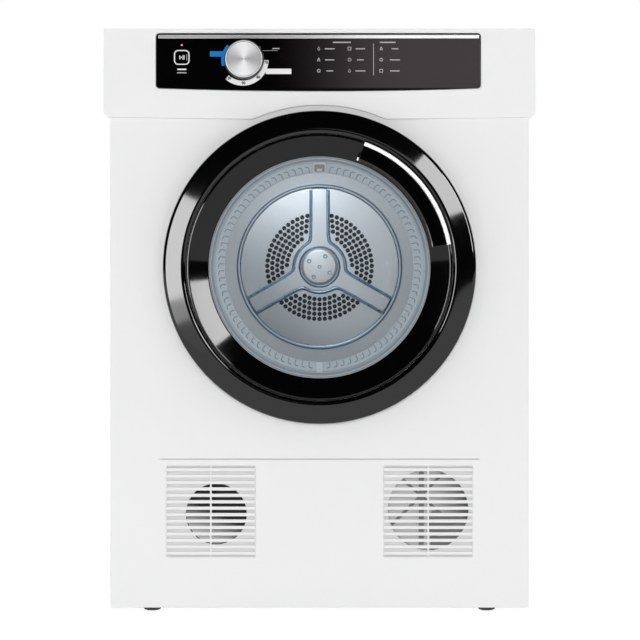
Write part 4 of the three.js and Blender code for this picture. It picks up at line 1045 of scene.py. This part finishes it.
def motorShield(x, z, radius, face, width, arms):
    disc = [(0, face), (radius - 3, face), (radius, face + 2), (radius, face + 3.2), (0, face + 3.2)]
    # The disc is painted lighter at its left and darker to its right: painted shade.
    spun("motorShield", "cabinet", "white_plastic", disc, x=x, z=z, steps=96, edge=0.3, finish="shieldShade")
    bars = []
    for angle, aside in arms:
        reach = sqrt((radius - 3) ** 2 - aside ** 2)
        corners = [polar(aside + across * width / 2, angle + 90, *polar(along * reach, angle, x, z))
                   for along, across in ((-1, -1), (1, -1), (1, 1), (-1, 1))]
        bars.append(plate([corners], face - 1.8, face + 0.4, 0.5))
    strap = plate([box(x - 9.4, z, 7.2, 2 * radius - 8, 1.5, 3)], face - 2.6, face - 1.8, 0.3)
    guard = plate([band(6, radius - 0.6, -86, -12, 24, x, z)], face - 1.6, face + 0.4, 0.4)
    for name, piece in (("motorArms", joined(*bars)), ("motorStrap", strap), ("motorCover", guard)):
        settle(piece, name, "cabinet", "black_plastic", finish="guardShade")


print("behind the grilles")
# A flat disc inside the left duct, painted dark towards its upper right and pale towards its lower left: painted
# shade and light.
spun("ductThroat", "cabinet", "black_plastic", [(0, -243), (41.8, -243), (41.8, -242), (0, -242)],
           x=-143.5, z=136, steps=72, finish="ductShade")
motorShield(**shield)

# feet

foot = dict(radius=12.3, pad=5.2, stud=4.8, studTop=37.5, nut=9)


def levellingFoot(name, node, body, x, y, radius, pad, stud, studTop, nut):
    disc = [(0, 0), (7, 0), (10.5, 1.2), (radius, 3.2), (radius, pad - 0.4), (11.6, pad), (0, pad)]
    rod = [(0, pad - 1), (stud, pad - 1), (stud, studTop - 1), (stud - 1, studTop), (0, studTop)]
    ring = [(0, 8.4), (nut - 0.6, 8.4), (nut, 9.2), (nut, 13.4), (nut - 0.6, 14.2), (0, 14.2)]
    pad, stud, nut = (upright(turned(section, 0, 0, steps), x, y)
                      for section, steps in ((disc, 48), (rod, 24), (ring, 6)))
    settle(pad, name, body, "seal_rubber", node)
    settle(stud, name + "Stud", body, "machined_steel")
    settle(nut, name + "Nut", body, "machined_steel", smooth=20)


print("feet")
for side, x in (("left", -233.5), ("right", 233.5)):
    for end, y in (("front", -225), ("rear", 238)):
        levellingFoot(camel(f"{side}_{end}_foot"), f"{side}_{end}_foot", f"{side}_{end}_leg", x, y, **foot)

# rear

rear = dict(half=289.7, low=12, high=789.7, front=263, back=264, collar=97, gland=(230, 62), slotX=-192.5,
            slots=(8, 120, 9))
zincPart = ("cabinet", "zinc_steel")
pressedRibs = ((-232, 470, 14, 440), (232, 470, 14, 440), (0, 700, 430, 14), (0, 738, 430, 14))
cover = dict(radius=138, half=112, low=186, front=264.3, back=300, flange=12, slots=(6, 198, 9))
coverSlots = dict(x=0, z=220.5, width=160, height=49)


def coverOutline(grow, radius, half, low):
    radius, half, low = radius + grow, half + grow, low - grow
    meet = degrees(acos(half / radius))
    return [*arc(radius, -meet, 180 + meet, 96), *arc(8, 180, 270, 6, -half + 8, low + 8),
            *arc(8, -90, 0, 6, half - 8, low + 8)]


def rearPanel(half, low, high, front, back, collar, gland, slotX, slots):
    count, lowest, pitch = slots
    rows = [lowest + i * pitch for i in range(count)]
    holes = [circle(collar, 96), circle(11, 32, *gland), *(box(slotX, z + 2, 85, 4, 1.5, 4) for z in rows)]
    slab("rearPanel", *zincPart, [
        box(0, (low + high) / 2, 2 * half, high - low, 3, 4), *holes], front, back, 0.2, stands=["rear_panel"])
    hoods = [plate([box(slotX, z + 4.6, 85, 3.2, 1.4, 4)], back - 0.4, back + 2.6, 1, 3) for z in rows]
    settle(joined(*hoods), "rearLouvres", *zincPart)
    ribs = [plate([box(*place, 7, 8)], back - 0.5, back + 2.2, 1.2, 4) for place in pressedRibs]
    settle(joined(*ribs), "rearRibs", *zincPart)
    lip = [(97, 218.5), (98, 218.5), (98, 262), (99.5, 263.4), (104, 263.4), (104, 264.1), (98.5, 264.1), (97, 262.6)]
    spun("rearCollar", *zincPart, lip, steps=96)


def rearCover(front, back, flange, slots, **outline):
    count, lowest, pitch = slots
    holes = [box(0, lowest + i * pitch, coverSlots["width"], 4, 1.6, 4) for i in range(count)]
    shell = openBack(plate([coverOutline(0, **outline), *holes], front, back, 3, 5), front, 1,
                     lambda centre: beside(centre, **coverSlots, slack=2), side=-1)
    settle(shell, "rearCover", *zincPart, "rear_cover")
    slab("rearCoverFlange", *zincPart, [coverOutline(flange, **outline), coverOutline(-1, **outline)], front,
              front + 1.1, 0.3)
    boss = [(0, 301), (33, 301), (35, 301.4), (37, 302.6), (39, 303.3), (42, 303.3), (44.5, 302.6), (47, 300.8),
            (49, 299.8), (49, 299.2), (0, 299.2)]
    spun("rearCoverBoss", *zincPart, boss, steps=96)


# Pan-head screws seen from behind, each with a cross recess, shown as a thin near-black cross of plates on the head:
# a painted shadow.
def screws(name, places, depth, radius=4.2):
    dome = [(0, depth + 2.4), (radius * 0.6, depth + 2.2), (radius * 0.92, depth + 1.2), (radius, depth), (0, depth)]
    heads = [turned(dome, x, z, 24) for x, z in places]
    crosses = [plate([box(x, z, wide, tall, 0.3, 2)], depth + 2, depth + 2.5)
               for x, z in places for wide, tall in ((radius * 1.1, 0.9), (0.9, radius * 1.1))]
    settle(joined(*heads), name, "cabinet", "machined_steel")
    settle(joined(*crosses), name + "Cross", "cabinet", "machined_steel", finish="paintedRecessShadow")


print("rear")
rearPanel(**rear)
rearCover(**cover)
screws("rearScrews", [(x, z) for x in (-281, 281) for z in (30, 180, 330, 480, 630, 770)]
       + [(x, z) for x in (-190, -95, 0, 95, 190) for z in (20, 781)], rear["back"])
screws("coverScrews", [polar(144, angle) for angle in (5, 45, 90, 135, 175)]
       + [(x, z) for x in (-118, 118) for z in (200, 290)] + [(-60, 180), (60, 180)], cover["front"] + 1.1)

# the rest of the solids, with their edges softened

soft = dict(
    base_pan=0.5, motor_bracket=0.5, hinge_leaf=0.5, hinge_bracket=0.5, door_striker=0.5, door_catch=0.6,
    blower_housing=0.8, suction_duct=0.6, exhaust_duct=0.6, front_bulkhead=0.5, drum_shaft=0.6, idler_arm=0.5,
    idler_pulley=0.6, left_drum_roller=0.8, right_drum_roller=0.8, terminal_block=1, cord_gland=0.6,
    overheat_thermostat=0.8, bearing_bracket=0.5, rear_bearing=0.5, control_board=0.4, program_selector=1.2,
    motor_housing=0.7, drum_lifter_1=4, drum_lifter_2=4, drum_lifter_3=4, front_drum_seal=1.2,
    heater_element=0.8, drive_belt=0.6, motor_rotor=0.8, fan_wheel=0.5,
)
print("softened solids")
for node, width in soft.items():
    settle(softened(node, width), camel(node), nodeBody[node], nodeSlot[node], node)
